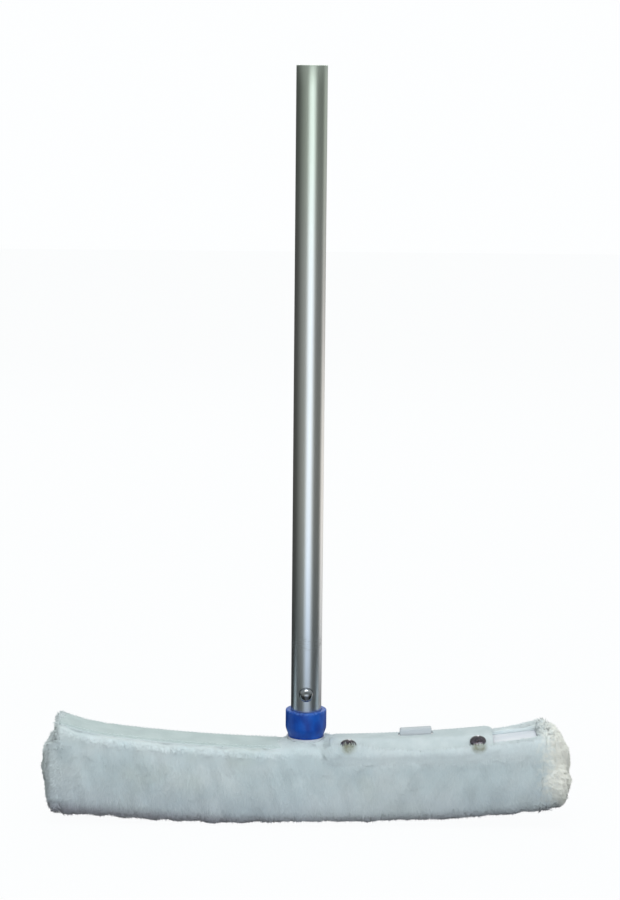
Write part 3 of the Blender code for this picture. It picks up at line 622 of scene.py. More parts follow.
# The top of the lug is mixed most of the way to a darker grey.
darker_lug = x.over(0.074, 0.078) * (1 - x.over(0.107, 0.111)) * up.over(0.067, 0.071)
grey.give(
    {
        "Base Color": grey.mix(darker_lug * 0.9 + dust * 0.1, base, (0.42, 0.46, 0.50, 1)),
        "Roughness": 0.42 + grain * 0.15,
        "Normal": grey.bump(grain, 0.2, 0.00005),
    }
)
bar = smooth_copy("crossbar", "moulded_crossbar")
settle(bar, "applicator", "grey_plastic", grey, "crossbar")

# %% [markdown]
# ## The bow of the head
#
# The crossbar is bowed, so that its ends stand higher than its middle, and the fleece under
# it is pressed flat by the floor. Every soft piece is first laid out straight and then
# lifted by the same rule, so all of them keep fitting each other.

# %% Bowing
BOW_RADIUS = 1.36
HEAD_HALF = 0.2185
SLOPE = math.radians(25)
SLOPE_Y, SLOPE_Z = -0.0145, 0.0602
SOLE_FLAT = 0.075
SOLE_TOP = 0.0195
EAR_LENGTH = 0.055
WALL_RISE = 0.0034
WALL_RUN = 0.1295
FLAP_ENDS = (0.0202, 0.1560)


def bow_rise(x):
    """Height of a circle's arc above its lowest point: R - sqrt(R^2 - x^2)."""
    return BOW_RADIUS - np.sqrt(BOW_RADIUS**2 - np.square(x))


def sole_rise(x):
    """Zero over the flat middle, then growing with x^2 up to 7.5 mm left and 11 mm right."""
    run = (np.square(x) - SOLE_FLAT**2) / (HEAD_HALF**2 - SOLE_FLAT**2)
    return np.where(x < 0, 0.0075, 0.0110) * np.maximum(0, run)


def ear_rise(x):
    """The top corners turn up over the last 55 mm, by 8 mm on the left and 5 mm on the right."""
    turn = np.clip((np.abs(x) - HEAD_HALF + EAR_LENGTH) / EAR_LENGTH, 0, 1)
    return np.where(x < 0, 0.008, 0.005) * turn**2


def wall_rise(x, y=SLOPE_Y):
    """How much higher the slit's front edge stands: 3.4 mm at the neck, none at the far end.

    It falls evenly along the flap, and evenly across the slit to nothing near its back."""
    across = np.clip((0.0120 - y) / 0.0225, 0, 1)
    return WALL_RISE * np.clip((FLAP_ENDS[1] - x) / WALL_RUN, 0, 1) * across


def on_slope(down, out):
    """Point in (y, z) that lies down the slope by one length and out of it by another."""
    y = SLOPE_Y - down * math.cos(SLOPE) - out * math.sin(SLOPE)
    return y, SLOPE_Z - down * math.sin(SLOPE) + out * math.cos(SLOPE)


def bowed(points):
    """Lifts each point: by the sole's rule at the floor and by the bow's above 19.5 mm.

    Between the two it blends evenly, and the top corners get the ears' rise as well."""
    points = np.array(points, float)
    x, z = points[..., 0], points[..., 2]
    share = np.clip(z / SOLE_TOP, 0, 1)
    top = np.clip((z - 0.054) / 0.0095, 0, 1)
    points[..., 2] += share * bow_rise(x) + (1 - share) * sole_rise(x) + top * ear_rise(x)
    return points


rng = np.random.default_rng(11)
WAVES = rng.normal(0, 1, (14, 3)) * np.linspace(90, 300, 14)[:, None]
PHASES = rng.uniform(0, 2 * math.pi, 14)


def lumps(points):
    """Soft unevenness: a fifth of the sum of fourteen sine waves in random directions."""
    return np.sin(points @ WAVES.T + PHASES).sum(-1) / 5


print("ends rise by", round(float(bow_rise(HEAD_HALF)) * 1000, 1), "mm")

# %% [markdown]
# ## Fleece
#
# Fleece scatters light softly, so it is rough with a little sheen. The pile is bluish white
# with faint mottling, stained under the two snaps, and cream at the right end. Painted shade
# makes it greyer towards the floor, darkest along the bottom edge and on the cream end's
# lower part, and painted light brightens its top. Each tuft carries its own tone, and a
# painted shade at its root that fades towards the tip.

# %% Fleece finish
SNAPS = (0.0355, 0.1438)


def fleece_finish(name, tufted):
    """White pile whose colour follows the place on the head, and each tuft's tone."""
    made = Finish(name, Roughness=0.95, Sheen_Weight=0.25, Sheen_Roughness=0.6)
    spot = made.place()
    x, y, z = made.axes(spot)
    patches = made.noise(spot, 26, 3.0).over(0.36, 0.66)
    flecks = made.noise(spot, 260, 2.0).over(0.35, 0.7)
    warm = made.noise(made.stretched(spot, 1, 1, 1.4), 17, 2.0).over(0.52, 0.72)
    colour = made.mix(patches, (0.52, 0.61, 0.65, 1), (0.60, 0.67, 0.70, 1))
    colour = made.mix(warm * 0.5, colour, (0.55, 0.61, 0.58, 1))
    height = z - x * x * 0.26
    # Painted shade: the pile turns darker blue grey towards the floor.
    colour = made.mix((1 - height.over(0.004, 0.040)) * 0.5, colour, (0.39, 0.45, 0.53, 1))
    # Painted light: the top of the pile is lighter, mostly right of the neck.
    painted_top_light = height.over(0.045, 0.055) * (x.over(0.015, 0.050) * 0.5 + 0.001)
    colour = made.mix(painted_top_light, colour, (0.68, 0.75, 0.78, 1))
    deep = y + 0.0265
    for at, below in zip(SNAPS, (0.0706, 0.0722)):
        side, up = x - at, z - below
        far = (side * side + up * up + deep * deep * 0.3) ** 0.5
        near = 1 - far.over(0.0030, 0.0085)
        colour = made.mix(near * (0.5 + flecks * 0.45), colour, (0.18, 0.19, 0.10, 1))
    cream = (x + flecks * 0.008).over(0.194, 0.217)
    milk = made.mix(patches, (0.95, 0.94, 0.87, 1), (0.99, 0.98, 0.93, 1))
    # Painted shade: the cream end darkens towards the floor, less on its end face.
    shaded = (1 - height.over(0.002, 0.034)) * (1 - x.over(0.208, 0.217) * 0.5)
    milk = made.mix(shaded, milk, (0.24, 0.28, 0.29, 1))
    colour = made.mix(cream, colour, milk)
    # Painted shade: the lowest 13 mm turn dark purple grey, in mottled patches.
    painted_floor_shade = (1 - (height + flecks * 0.002).over(0.000, 0.013)) * (0.55 + flecks * 0.45)
    colour = made.mix(painted_floor_shade * 0.8, colour, (0.24, 0.20, 0.28, 1))
    colour = made.mix(flecks * 0.10, colour, (0.45, 0.50, 0.52, 1))
    if tufted:
        tone = made.node("Attribute", {"attribute_name": "tone"}, output="Fac")
        reach = made.node("Attribute", {"attribute_name": "reach"}, output="Fac")
        # Painted shade: each tuft is darker at its root, fading towards the tip.
        colour = made.mix((1 - reach) * 0.16, colour, (0.40, 0.45, 0.48, 1))
        colour = made.mix(tone * 0.12, colour, (0.92, 0.95, 0.96, 1))
    made.give({"Base Color": colour})
    if not tufted:
        fine = made.noise(spot, 900, 3.0)
        made.give({"Normal": made.bump(fine, 0.6, 0.0004)})
    return made


backing = fleece_finish("white_fleece_backing", False)
pile = fleece_finish("white_fleece_pile", True)
print("fleece ready")

# %% [markdown]
# ## Sleeve
#
# The sleeve is a long tube of fleece with a hole for the neck. Over the left half it is
# closed, over the right half it is slit so that it can be pulled over the bar. One rounded
# outline with a gap in its top is carried along the bar, and the gap's width changes on the
# way: almost shut, round at the neck, then wide.

# %% Sleeve body
PILE_ROOM = 0.0014
NECK = 0.0170
SLIT_LIP = 0.0638
SLEEVE_CORNER = 0.0634
CAVITY_FLOOR = 0.0207
SLEEVE_END = 0.1985
FLOOR_GAP = 0.0006
stretches = ((-0.2049, -0.036, 104), (-0.0352, 0.036, 100), (0.0372, SLEEVE_END, 104))
along = np.concatenate([np.linspace(*stretch) for stretch in stretches])
depth = 0.025 - PILE_ROOM
neck = np.sqrt(np.maximum(NECK**2 - along**2, 0.0004**2))
blend = np.clip((along - 0.015) / 0.010, 0, 1)
blend = blend * blend * (3 - 2 * blend)
opening = np.clip((along - 0.0205) / 0.0035, 0, 1)
slit = np.maximum(neck, 0.0146 * opening * opening * (3 - 2 * opening))
front_corner = SLEEVE_CORNER - (0.0090 - wall_rise(along)) * blend
front_lip = SLIT_LIP - (0.0038 - wall_rise(along)) * blend
roof = 0.0625
inner = 0.0143
pairs = [
    (slit, SLIT_LIP),
    (depth, SLEEVE_CORNER),
    (depth, PILE_ROOM),
    (-depth, PILE_ROOM),
    (-depth, front_corner),
    (-slit, front_lip),
    (-slit, front_lip - 0.0013),
    (-inner, np.minimum(roof, front_lip - 0.0016)),
    (-inner, CAVITY_FLOOR),
    (inner, CAVITY_FLOOR),
    (inner, roof - 0.0003),
    (slit, roof),
]
corners = np.stack([vectors(y + 0 * along, z) for y, z in pairs], axis=1)
big, small = [0.0006, 0.0060, 0.0125, 0.0125, 0.0055], [0.0006, 0.0004, 0.0003]
trims = [*big, *small, 0.001, 0.001, 0.0003, 0.0004]
section = rounded(corners, trims, [8, 34, 20, 34, 8, 2, 2, 8, 4, 8, 2, 2], arc=8)
places = np.broadcast_to(along[:, None, None], section[..., :1].shape)
points = np.concatenate([places, section], -1)


def neck_swell(points):
    """Fabric pushed up round the neck: 5.6 mm exp(-((r - 17 mm) / 6.5 mm)^2) over the top."""
    far = np.hypot(points[..., 0], points[..., 1]) - NECK
    over_top = np.clip((points[..., 2] - 0.055) / 0.006, 0, 1)
    return 0.0056 * np.exp(-((far / 0.0065) ** 2)) * over_top


def sole_lift(x, z):
    """The worn sole is fullest left of the neck and thins by up to 3 mm to the right."""
    return 0.0030 * np.clip((x + 0.055) / 0.11, 0, 1) * np.clip(1 - z / SOLE_TOP, 0, 1)


def tubes_from(name, rings):
    """Closed tubes from rings of corners (tubes, rings, corners, 3), with flat ends."""
    count, steps, corners = rings.shape[:3]
    quads = grid_quads(steps, corners, False, True)
    lids = np.stack([np.arange(corners), (steps - 1) * corners + np.arange(corners)[::-1]])
    shift = (np.arange(count) * steps * corners)[:, None, None]
    all_quads = (quads[None] + shift).reshape(-1, 4)
    all_lids = (lids[None] + shift).reshape(-1, corners)
    return piece_from(name, rings.reshape(-1, 3), all_quads, all_lids)


outer = (np.abs(points[..., 1]) > 0.0150) | (points[..., 2] < 0.018)
slope = np.cross(np.gradient(points, axis=0), np.gradient(points, axis=1))
slope /= np.linalg.norm(slope, axis=-1, keepdims=True) + 1e-12
slope *= np.sign((slope * (points - [0, 0, 0.035]) * [0, 1, 1]).sum(-1, keepdims=True))
points += slope * (lumps(points) * 0.0008 * outer)[..., None]
points[..., 2] += neck_swell(points)
points[..., 2] += sole_lift(points[..., 0], points[..., 2])
points[..., 2] = np.maximum(points[..., 2], FLOOR_GAP)
sleeve = tubes_from("fleece_sleeve", bowed(points)[None])
settle(sleeve, "applicator", "white_fleece", backing, "sleeve_body")

# %% [markdown]
# ## Stuffed ends
#
# Both ends of the sleeve are closed with a pad of fleece that bulges outwards. The pad is
# laid out as rings of the sleeve's outline that shrink as they go out, and then blown up a
# little by the cloth solver, held at its seam, as a stuffed cushion would be.


# %% Blowing up a pad
LEFT_SEAM, RIGHT_SEAM = 0.2052, 0.1988
VOXEL = 0.0026
PRESSURE = 4.0
SWELL_LIMIT = 0.003
CLOTH_FRAMES = 20


def points_of(piece):
    """The points of the piece's mesh, as an array (n, 3)."""
    points = np.empty(len(piece.data.vertices) * 3)
    piece.data.vertices.foreach_get("co", points)
    return points.reshape(-1, 3)


def blown_up(piece, seam):
    """Remeshes the piece, lets pressure swell it, and keeps each point within the limit.

    The points for which seam() is true stay held."""
    step = piece.modifiers.new("voxels", "REMESH")
    step.mode = "VOXEL"
    step.voxel_size = VOXEL
    apply_all(piece)
    start = points_of(piece)
    held = piece.vertex_groups.new(name="seam")
    held.add(np.flatnonzero(seam(start)).tolist(), 1.0, "REPLACE")
    cloth = piece.modifiers.new("cloth", "CLOTH")
    cloth.settings.use_pressure = True
    cloth.settings.uniform_pressure_force = PRESSURE
    cloth.settings.effector_weights.gravity = 0
    cloth.settings.vertex_group_mass = "seam"
    cloth.point_cache.frame_start = 1
    cloth.point_cache.frame_end = CLOTH_FRAMES
    for number in range(1, CLOTH_FRAMES + 1):
        bpy.context.scene.frame_set(number)
    apply_all(piece)
    bpy.context.scene.frame_set(1)
    piece.vertex_groups.clear()
    move = points_of(piece) - start
    size = np.linalg.norm(move, axis=1, keepdims=True)
    start = start + move * np.minimum(1, SWELL_LIMIT / np.maximum(size, 1e-9))
    print(piece.name, "swelled by up to", round(float(size.max()) * 1000, 1), "mm")
    start[:, 2] = np.maximum(start[:, 2], FLOOR_GAP)
    piece.data.vertices.foreach_set("co", start.ravel())
    piece.data.update()
    smooth = piece.modifiers.new("smooth", "SUBSURF")
    smooth.levels = smooth.render_levels = 1
    apply_all(piece)
    piece.data.shade_smooth()
    return piece


def end_pad(name, side, start, tip, top, bottom, above_seam, below_seam):
    """Ring at out from 0 to 1 shrinks by (1 - out^p)^(1/p), with one p above and one below.

    Past the seam its upper half drops to one share of its height over the middle, its lower
    half to another, within the first fifth of the way out."""
    outline = rounded(
        [(depth, 0.0632), (depth, PILE_ROOM), (-depth, PILE_ROOM), (-depth, 0.0632)],
        [0.010, 0.013, 0.013, 0.010],
        [14, 10, 14, 10],
        arc=10,
    )
    out = np.sin(np.linspace(0, 0.97, 18) * math.pi / 2)
    over = outline[:, 1] - 0.030
    above = np.clip(over / 0.012, -1, 1) * 0.5 + 0.5
    power = bottom + (top - bottom) * above
    shrink = (1 - out[:, None] ** power) ** (1 / power)
    y = outline[:, 0] * shrink
    drop = np.clip(out[:, None] / 0.2, 0, 1) ** 2
    share = np.where(over > 0, above_seam, below_seam)
    z = 0.030 + over * (1 + (share - 1) * drop) * shrink
    x = side * (start + (tip - start) * out[:, None])
    rings = vectors(x, y, z)
    wobble = lumps(rings * 2.1 + side) * 0.0019 * out[:, None]
    rings = rings + wobble[..., None] * np.array([side * 0.8, 0.3, 0.5])
    rings[..., 2] += sole_lift(x, rings[..., 2])
    pad = tubes_from(name, bowed(rings)[None])
    return blown_up(pad, lambda at: at[:, 0] * side < start + 0.004)


left_end = end_pad("fleece_end_left", -1, LEFT_SEAM, 0.2176, 3.0, 2.8, 0.70, 1.0)
right_end = end_pad("fleece_end_right", 1, RIGHT_SEAM, 0.2192, 2.1, 5.0, 1.0, 0.93)
cream_backing = fleece_finish("cream_fleece_backing", False)
settle(left_end, "applicator", "white_fleece", backing, "sleeve_end_left")
settle(right_end, "applicator", "cream_fleece", cream_backing, "sleeve_end_right")

# %% [markdown]
# ## Pile
#
# Real pile is countless fine tufts. Each tuft here is a tapered, bent little blade with only
# eight faces. Roots are scattered over the backing by area, and every tuft leans the way
# the pile was combed, down the faces and outwards at the ends, with some disorder.


# %% Tufts
def triangles(piece):
    """Corner points and point normals of each triangle, as arrays (n, 3, 3)."""
    mesh = piece.data
    mesh.calc_loop_triangles()
    index = np.empty(len(mesh.loop_triangles) * 3, np.int32)
    mesh.loop_triangles.foreach_get("vertices", index)
    normal = np.empty(len(mesh.vertices) * 3)
    mesh.vertex_normals.foreach_get("vector", normal)
    index = index.reshape(-1, 3)
    return points_of(piece)[index], normal.reshape(-1, 3)[index]


def unit(arrows):
    """The same directions with a length of one."""
    return arrows / np.maximum(np.linalg.norm(arrows, axis=-1, keepdims=True), 1e-9)


def scatter(piece, count, wanted, seed):
    """Random points p = (1-s-t) a + s b + t c on triangles picked by area times wanted()."""
    pick = np.random.default_rng(seed)
    co, normal = triangles(piece)
    area = np.linalg.norm(np.cross(co[:, 1] - co[:, 0], co[:, 2] - co[:, 0]), axis=1)
    chance = area * wanted(co.mean(1), unit(normal.mean(1)))
    chosen = pick.choice(len(co), count, p=chance / chance.sum())
    s, t = pick.random((2, count, 1))
    s, t = np.where(s + t > 1, 1 - s, s), np.where(s + t > 1, 1 - t, t)
    weights = (1 - s - t, s, t)
    roots = sum(w * co[chosen, k] for k, w in enumerate(weights))
    outward = unit(sum(w * normal[chosen, k] for k, w in enumerate(weights)))
    return roots, outward, pick


TUFT_RADIUS = 0.00050
ROOT_DEPTH = 0.0006


def tufts(
    name, roots, outward, comb, pick, length, lift, spread,
    calm=0.0, shade=None, fat=1.0, slot="white_fleece", finish=pile,
):
    """Tuft point at s is root + comb L s + outward h (1 - (1-s)^2), on three rings of three.

    Length and lift are ranges. Its shading normals lean to the backing's, or to the
    directions in shade, because light soaks through real pile. Where calm is near 1, tufts
    are shorter, flatter and better combed, and fat scales their radius."""
    n = len(roots)
    calm = np.broadcast_to(calm, n)[:, None]
    comb = unit(comb) + pick.normal(0, spread, (n, 3)) * (1 - 0.7 * calm)
    comb = unit(comb - (comb * outward).sum(1, keepdims=True) * outward)
    side = np.cross(comb, outward)
    size = pick.uniform(*length, (n, 1, 1)) * (1 - 0.4 * calm[..., None])
    rise = pick.uniform(*lift, (n, 1, 1)) * (1 - 0.6 * calm[..., None])
    s = np.array([0, 0.55, 1.0])[None, :, None]
    path = roots[:, None] + comb[:, None] * size * s
    path = path + outward[:, None] * (rise * (1 - (1 - s) ** 2) - ROOT_DEPTH)
    taper = np.array([1, 0.85, 0.12])[None, :, None, None]
    thick = TUFT_RADIUS * fat * pick.uniform(0.75, 1.25, (n, 1, 1, 1)) * taper
    turn = (np.arange(3) * 2 * math.pi / 3 + math.pi / 2)[:, None]
    ring = np.cos(turn) * side[:, None, None] + np.sin(turn) * outward[:, None, None]
    rings = path[:, :, None] + ring * thick
    rings[..., 2] = np.maximum(rings[..., 2], FLOOR_GAP / 2)
    piece = tubes_from(name, rings)
    shade = outward if shade is None else shade
    soft = unit(shade[:, None, None] * 0.8 + np.broadcast_to(ring, rings.shape) * 0.28)
    piece.data.normals_split_custom_set_from_vertices(soft.reshape(-1, 3))
    tone = np.repeat(pick.random(n), 9).astype(np.float32)
    reach = np.tile(np.repeat([0.0, 0.6, 1.0], 3), n).astype(np.float32)
    for label, values in (("tone", tone), ("reach", reach)):
        piece.data.attributes.new(label, "FLOAT", "POINT").data.foreach_set("value", values)
    settle(piece, "applicator", slot, finish)


def comb_down(roots):
    """Down the faces, outwards over the edges, and towards the ends near the ends."""
    x, y = roots[:, 0], roots[:, 1]
    spread = np.clip((np.abs(x) - 0.150) / 0.06, 0, 1) * np.sign(x)
    return vectors(spread * 0.8 + 0.1, np.sign(y) * 0.5, -1.0)


def furry(at):
    """1 where the sleeve carries pile: not in its cavity, nor under a band, flap or hem."""
    x, y = at[:, 0], at[:, 1]
    z = at[:, 2] - bow_rise(x)
    inside = (np.abs(y) < 0.0152) & (z > 0.012) & ((x > 0.0235) | (z < 0.061))
    banded = (x < -0.0215) & (y > -0.0148) & (y < 0.0222) & (z > 0.058)
    flapped = (x > 0.0235) & (x < 0.158) & (y > 0) & (y < 0.0228) & (z > 0.058)
    hemmed = (x > 0.021) & (y < 0) & (z > 0.0535) & (y > -0.0218)
    return np.where(inside | banded | flapped | hemmed, 0.0, 1.0)


def front_left(at, facing):
    return furry(at) * (at[:, 1] < -0.012) * (facing[:, 2] > -0.85) * (at[:, 0] < 0)


def front_right(at, facing):
    return furry(at) * (at[:, 1] < -0.012) * (facing[:, 2] > -0.85) * (at[:, 0] >= 0)


def back_only(at, facing):
    return furry(at) * (at[:, 1] > 0.012) * (facing[:, 2] > -0.85)


def sole_only(at, facing):
    return furry(at) * (facing[:, 2] < -0.5)


def neck_only(at, facing):
    near = (np.hypot(at[:, 0], at[:, 1]) < 0.024) & (at[:, 0] < 0.0235)
    return (near & (at[:, 2] > 0.0615) & (facing[:, 2] > 0.1)) * 1.0


for name, count, wanted, seed in (
    ("pile_front_left", 13800, front_left, 21),
    ("pile_front_right", 13800, front_right, 24),
    ("pile_back", 13800, back_only, 22),
    ("pile_sole", 9000, sole_only, 23),
):
    roots, outward, pick = scatter(sleeve, count, wanted, seed)
    comb = comb_down(roots)
    calm = np.clip((roots[:, 2] - bow_rise(roots[:, 0]) - 0.050) / 0.007, 0, 1)
    length, lift = (0.0040, 0.0068), (0.0002, 0.0014)
    tufts(name, roots, outward, comb, pick, length, lift, 0.34, calm)

roots, outward, pick = scatter(sleeve, 2600, neck_only, 25)
comb = vectors(-roots[:, 0], -roots[:, 1], 0.006) * 60
outward = unit(outward + vectors(0.0, 0.2 * np.sign(roots[:, 1]), 1.3))
length, lift = (0.0030, 0.0052), (0.0004, 0.0020)
tufts("pile_neck", roots, outward, comb, pick, length, lift, 0.34)

# %% Tufts on the ends
cream_pile = fleece_finish("cream_fleece_pile", True)
for name, pad, side, slot, finish, count, seed in (
    ("pile_end_left", left_end, -1, "white_fleece", pile, 4600, 31),
    ("pile_end_right", right_end, 1, "cream_fleece", cream_pile, 6400, 32),
):
    roots, outward, pick = scatter(
        pad, count, lambda at, facing, s=side: (facing[:, 0] * s > -0.3) * 1.0, seed
    )
    comb = vectors(0.7 * side, np.sign(roots[:, 1]) * 0.5, -0.6)
    lit = unit(outward + [0, -0.15, 0.35])
    length, lift = (0.0035, 0.0070), (0.0004, 0.0032)
    tufts(name, roots, outward, comb, pick, length, lift, 0.55, 0.0, lit, 1.1, slot, finish)

# %% [markdown]
# ## Seam rolls
#
# Where a stuffed end is sewn to the sleeve, the two edges of fleece stand up together as a
# soft ridge. It is a tube along the top of the sleeve's outline, thickest towards the back,
# with its own tufts that point every way.


# %% Seam rolls
def seam_roll(name, x, slant, y, z, radii):
    """Circle of radius r(t) carried along a smoothed path over the sleeve's top, near one x.

    The path and the radii are given at even steps from front to back, in millimetres. The
    roll leans along the head by the slant on the way."""
    given = np.linspace(0, 1, len(y))
    t = np.linspace(0, 1, 40)
    y, z, radius = (np.interp(t, given, np.array(v) / 1000) for v in (y, z, radii))
    soft = np.ones(5) / 5
    y, z = (np.convolve(np.r_[[v[0]] * 2, v, [v[-1]] * 2], soft, "valid") for v in (y, z))
    tangent = unit(vectors(np.gradient(y), np.gradient(z)))
    turn = np.arange(14) * 2 * math.pi / 14
    across, out = np.cos(turn) * radius[:, None], np.sin(turn) * radius[:, None]
    x = x + slant * t[:, None] + across
    y, z = y[:, None] - tangent[:, 1:] * out, z[:, None] + tangent[:, :1] * out
    points = vectors(x, y, z)
    points += lumps(points * 3)[..., None] * 0.0006
    return tubes_from(name, bowed(points)[None])


left_roll = seam_roll(
    "fleece_seam_left",
    -0.2050,
    -0.0010,
    y=[-22.5, -20.5, -14.0, 0, 14.0, 20.0, 22.0],
    z=[48.0, 56.0, 60.5, 61.8, 62.2, 60.6, 54.0],
    radii=[2.2, 2.6, 2.6, 2.8, 2.8, 2.8, 2.0],
)
right_roll = seam_roll(
    "fleece_seam_right",
    0.1982,
    0.0006,
    y=[-21.5, -18.5, -12.0, 1.0, 8.0, 14.0, 19.5, 22.2],
    z=[49.0, 56.0, 59.5, 60.5, 61.5, 62.4, 62.0, 56.0],
    radii=[2.0, 2.4, 2.4, 2.4, 2.6, 2.8, 2.6, 1.8],
)


def upper_side(at, facing):
    return (facing[:, 2] > -0.3) * 1.0


for name, roll, slot, base_finish, finish, count, seed in (
    ("pile_seam_left", left_roll, "white_fleece", backing, pile, 1400, 33),
    ("pile_seam_right", right_roll, "cream_fleece", cream_backing, cream_pile, 1500, 34),
):
    settle(roll, "applicator", slot, base_finish)
    roots, outward, pick = scatter(roll, count, upper_side, seed)
    comb = np.tile([0.0, 0.2, -0.3], (count, 1))
    length, lift = (0.0025, 0.0050), (0.0008, 0.0026)
    tufts(name, roots, outward, comb, pick, length, lift, 0.9, slot=slot, finish=finish)

# %% [markdown]
# ## Fringes
#
# The pile is deeper than the bands are thick, so it spills over their edges. Extra tufts are
# set in rows: up over the flap's lower edge, down the slope past the flap, over the front
# edge of the band on the left, along the back edge, and across the joins of the ends. A last
# patch grows out of the sleeve between the neck and the flap's end.


# %% Fringes
def fringe(name, where, outward, comb, length, lift, spread, shade=None):
    """Tufts at given straight-head places, with given outward and combed directions.

    All the fringes draw from the one sequence in pick, in the order in which they are made."""
    roots = bowed(vectors(*where))
    outward = np.broadcast_to(unit(np.array(outward, float)), roots.shape)
    comb = np.broadcast_to(np.array(comb, float), roots.shape)
    tufts(name, roots, outward, comb, pick, length, lift, spread, 0.0, shade)


def each(low, high, share):
    """Range of lengths for every tuft, scaled by its own share."""
    return low * share[:, None, None], high * share[:, None, None]


pick = np.random.default_rng(41)
count = 10000
x = pick.uniform(0.0175, SLEEVE_END, 8400)
x = np.r_[x, pick.normal(SNAPS[0], 0.0055, 900), pick.normal(SNAPS[1], 0.0055, 700)]
level = pick.uniform(0, 1, count) ** 0.7
tilt = level * math.radians(46)
flapped = 1 - np.clip((x - 0.1540) / 0.008, 0, 1)
y = -0.0240 - (0.0010 + 0.0018 * flapped) * level**2 + pick.normal(0, 0.0002, count)
z = 0.0487 + 0.0092 * level + wall_rise(x)
lit = vectors(0.0, -np.cos(tilt), np.sin(tilt))
near_cap = np.exp(-(((x - SNAPS[0]) / 0.018) ** 2))
near_cap = near_cap + 0.9 * np.exp(-(((x - SNAPS[1]) / 0.009) ** 2))
near_neck = np.clip((0.085 - x) / 0.04, 0, 1)
long = each(0.0036, 0.0058, 0.8 + level * (0.55 + 0.55 * near_neck + 0.50 * near_cap))
raised = each(0.0006, 0.0014, 0.4 + level * (1.1 + 0.5 * near_cap))
fringe("pile_flap_edge", (x, y, z), (0, -1, 0), (0, 0, 1), long, raised, 0.28, lit)

x = pick.uniform(FLAP_ENDS[1], SLEEVE_END, 1600)
y, z = on_slope(pick.uniform(0.0014, 0.0095, 1600), 0)
where, outward, comb = (x, y - 0.0004, z + 0.0010), (0, -0.42, 0.91), (0.1, 0.6, 0.3)
fringe("pile_hem_slope", where, outward, comb, (0.0020, 0.0040), (0.0010, 0.0030), 0.45)

x = pick.uniform(-0.2040, -0.0180, 1900)
y = -0.0153 + pick.normal(0, 0.0004, 1900)
where, outward, comb = (x, y, 0.0639), (0, -0.15, 1), (0, 1, 0.15)
fringe("pile_band_edge", where, outward, comb, (0.0011, 0.0024), (0.0004, 0.0011), 0.45)

x = pick.uniform(0.1520, SLEEVE_END, 1100)
y = pick.uniform(0.0160, 0.0232, 1100)
raised = each(0.0008, 0.0020, 1 + 1.3 * np.clip((x - 0.165) / 0.033, 0, 1))
where, outward, comb = (x, y, 0.0630), (0, -0.25, 0.97), (0.1, 0.5, 0.1)
fringe("pile_back_edge", where, outward, comb, (0.0010, 0.0026), raised, 0.6)

for side, start in (("left", -LEFT_SEAM), ("right", RIGHT_SEAM)):
    facing = np.sign(start)
    x = start + facing * (-0.0120 + 0.0175 * pick.uniform(0, 1, 1300) ** 0.6)
    z = pick.uniform(0.0110, 0.0545, 1300)
    out = np.clip((x - start) * facing / 0.0055, 0, 1)
    where, comb = (x, -0.0238 - 0.0012 * out, z), (0.8 * facing, 0, -0.6)
    outward = vectors(0.35 * out * facing, -1.0, 0.0)
    length, lift = (0.0038, 0.0062), (0.0002, 0.0014)
    fringe("pile_join_" + side, where, outward, comb, length, lift, 0.36)


def beside_flap(at, facing):
    across = (at[:, 0] > 0.0105) & (at[:, 0] < 0.0212) & (at[:, 1] < 0.0160)
    return (across & (at[:, 2] > 0.0560)) * 1.0


count = 3400
roots, outward, pick = scatter(sleeve, count, beside_flap, 42)
comb = np.tile([1.0, 0.3, 0.45], (count, 1))
outward = unit(outward + [0, -0.4, 0.8])
lit = np.tile(unit(np.array([0.0, -0.45, 0.9])), (count, 1))
grow = np.clip((roots[:, 0] - 0.0095) / 0.0080, 0.25, 1)
long, raised = each(0.0036, 0.0064, grow), each(0.0006, 0.0024, grow)
tufts("pile_neck_corner", roots, outward, comb, pick, long, raised, 0.4, 0.0, lit)

# %% [markdown]
# ## Woven bands
#
# A smooth band is sewn over the closed half, a narrower hem guards the slit's front edge,
# and a fold of the same webbing covers the line where the flap is sewn on. Two sets of fine
# waves, one along and one across, make ribs that cross every two millimetres. All three are
# thin curved sheets with real thickness.


# %% Webbing and cloth finishes
def woven(name, ribs, light, dark, gloss):
    """Cloth with two crossing sets of ribs, finely mottled, with its coordinates and colour."""
    made = Finish(name)
    spot = made.place()
    weave = made.waves(spot, "X", ribs, 0.4) * made.waves(spot, "Y", ribs * 1.15, 0.4)
    patches = made.noise(spot, 60, 3.0).over(0.3, 0.7)
    base = made.mix(patches, (*dark, 1), (*light, 1))
    base = made.mix((1 - weave) * 0.12, base, (0.30, 0.34, 0.36, 1))
    made.give(
        {
            "Base Color": base,
            "Roughness": gloss + weave * 0.12,
            "Normal": made.bump(weave, 0.5, 0.00018),
        }
    )
    return made, spot, base


webbing, _, _ = woven("white_webbing", 170, (0.50, 0.58, 0.59), (0.44, 0.52, 0.53), 0.62)
print("webbing ready")


# %% Thin sheets
def sheet_between(name, middle, thickness, keep=None):
    """Grid of bowed middle points p; the two faces lie at p + n t/2 and p - n t/2.

    Solidify adds the faces and the rim, and a bevel softens the rim's edges. keep marks the
    grid's cells that stay, which leaves a window where it is False."""
    rows, columns = middle.shape[:2]
    cells = grid_quads(rows, columns)
    if keep is not None:
        cells = cells[keep.ravel()]
    points = bowed(middle).reshape(-1, 3)
    used, index = np.unique(cells, return_inverse=True)
    flat = piece_from(name, points[used], index.reshape(cells.shape), closed=False)
    thick = flat.modifiers.new("thickness", "SOLIDIFY")
    thick.thickness = thickness
    thick.offset = 0
    thick.use_even_offset = True
    soft = flat.modifiers.new("edges", "BEVEL")
    soft.width = thickness * 0.35
    soft.segments = 3
    soft.limit_method = "ANGLE"
    soft.angle_limit = math.radians(60)
    apply_all(flat)
    flat.data.shade_smooth()
    return flat


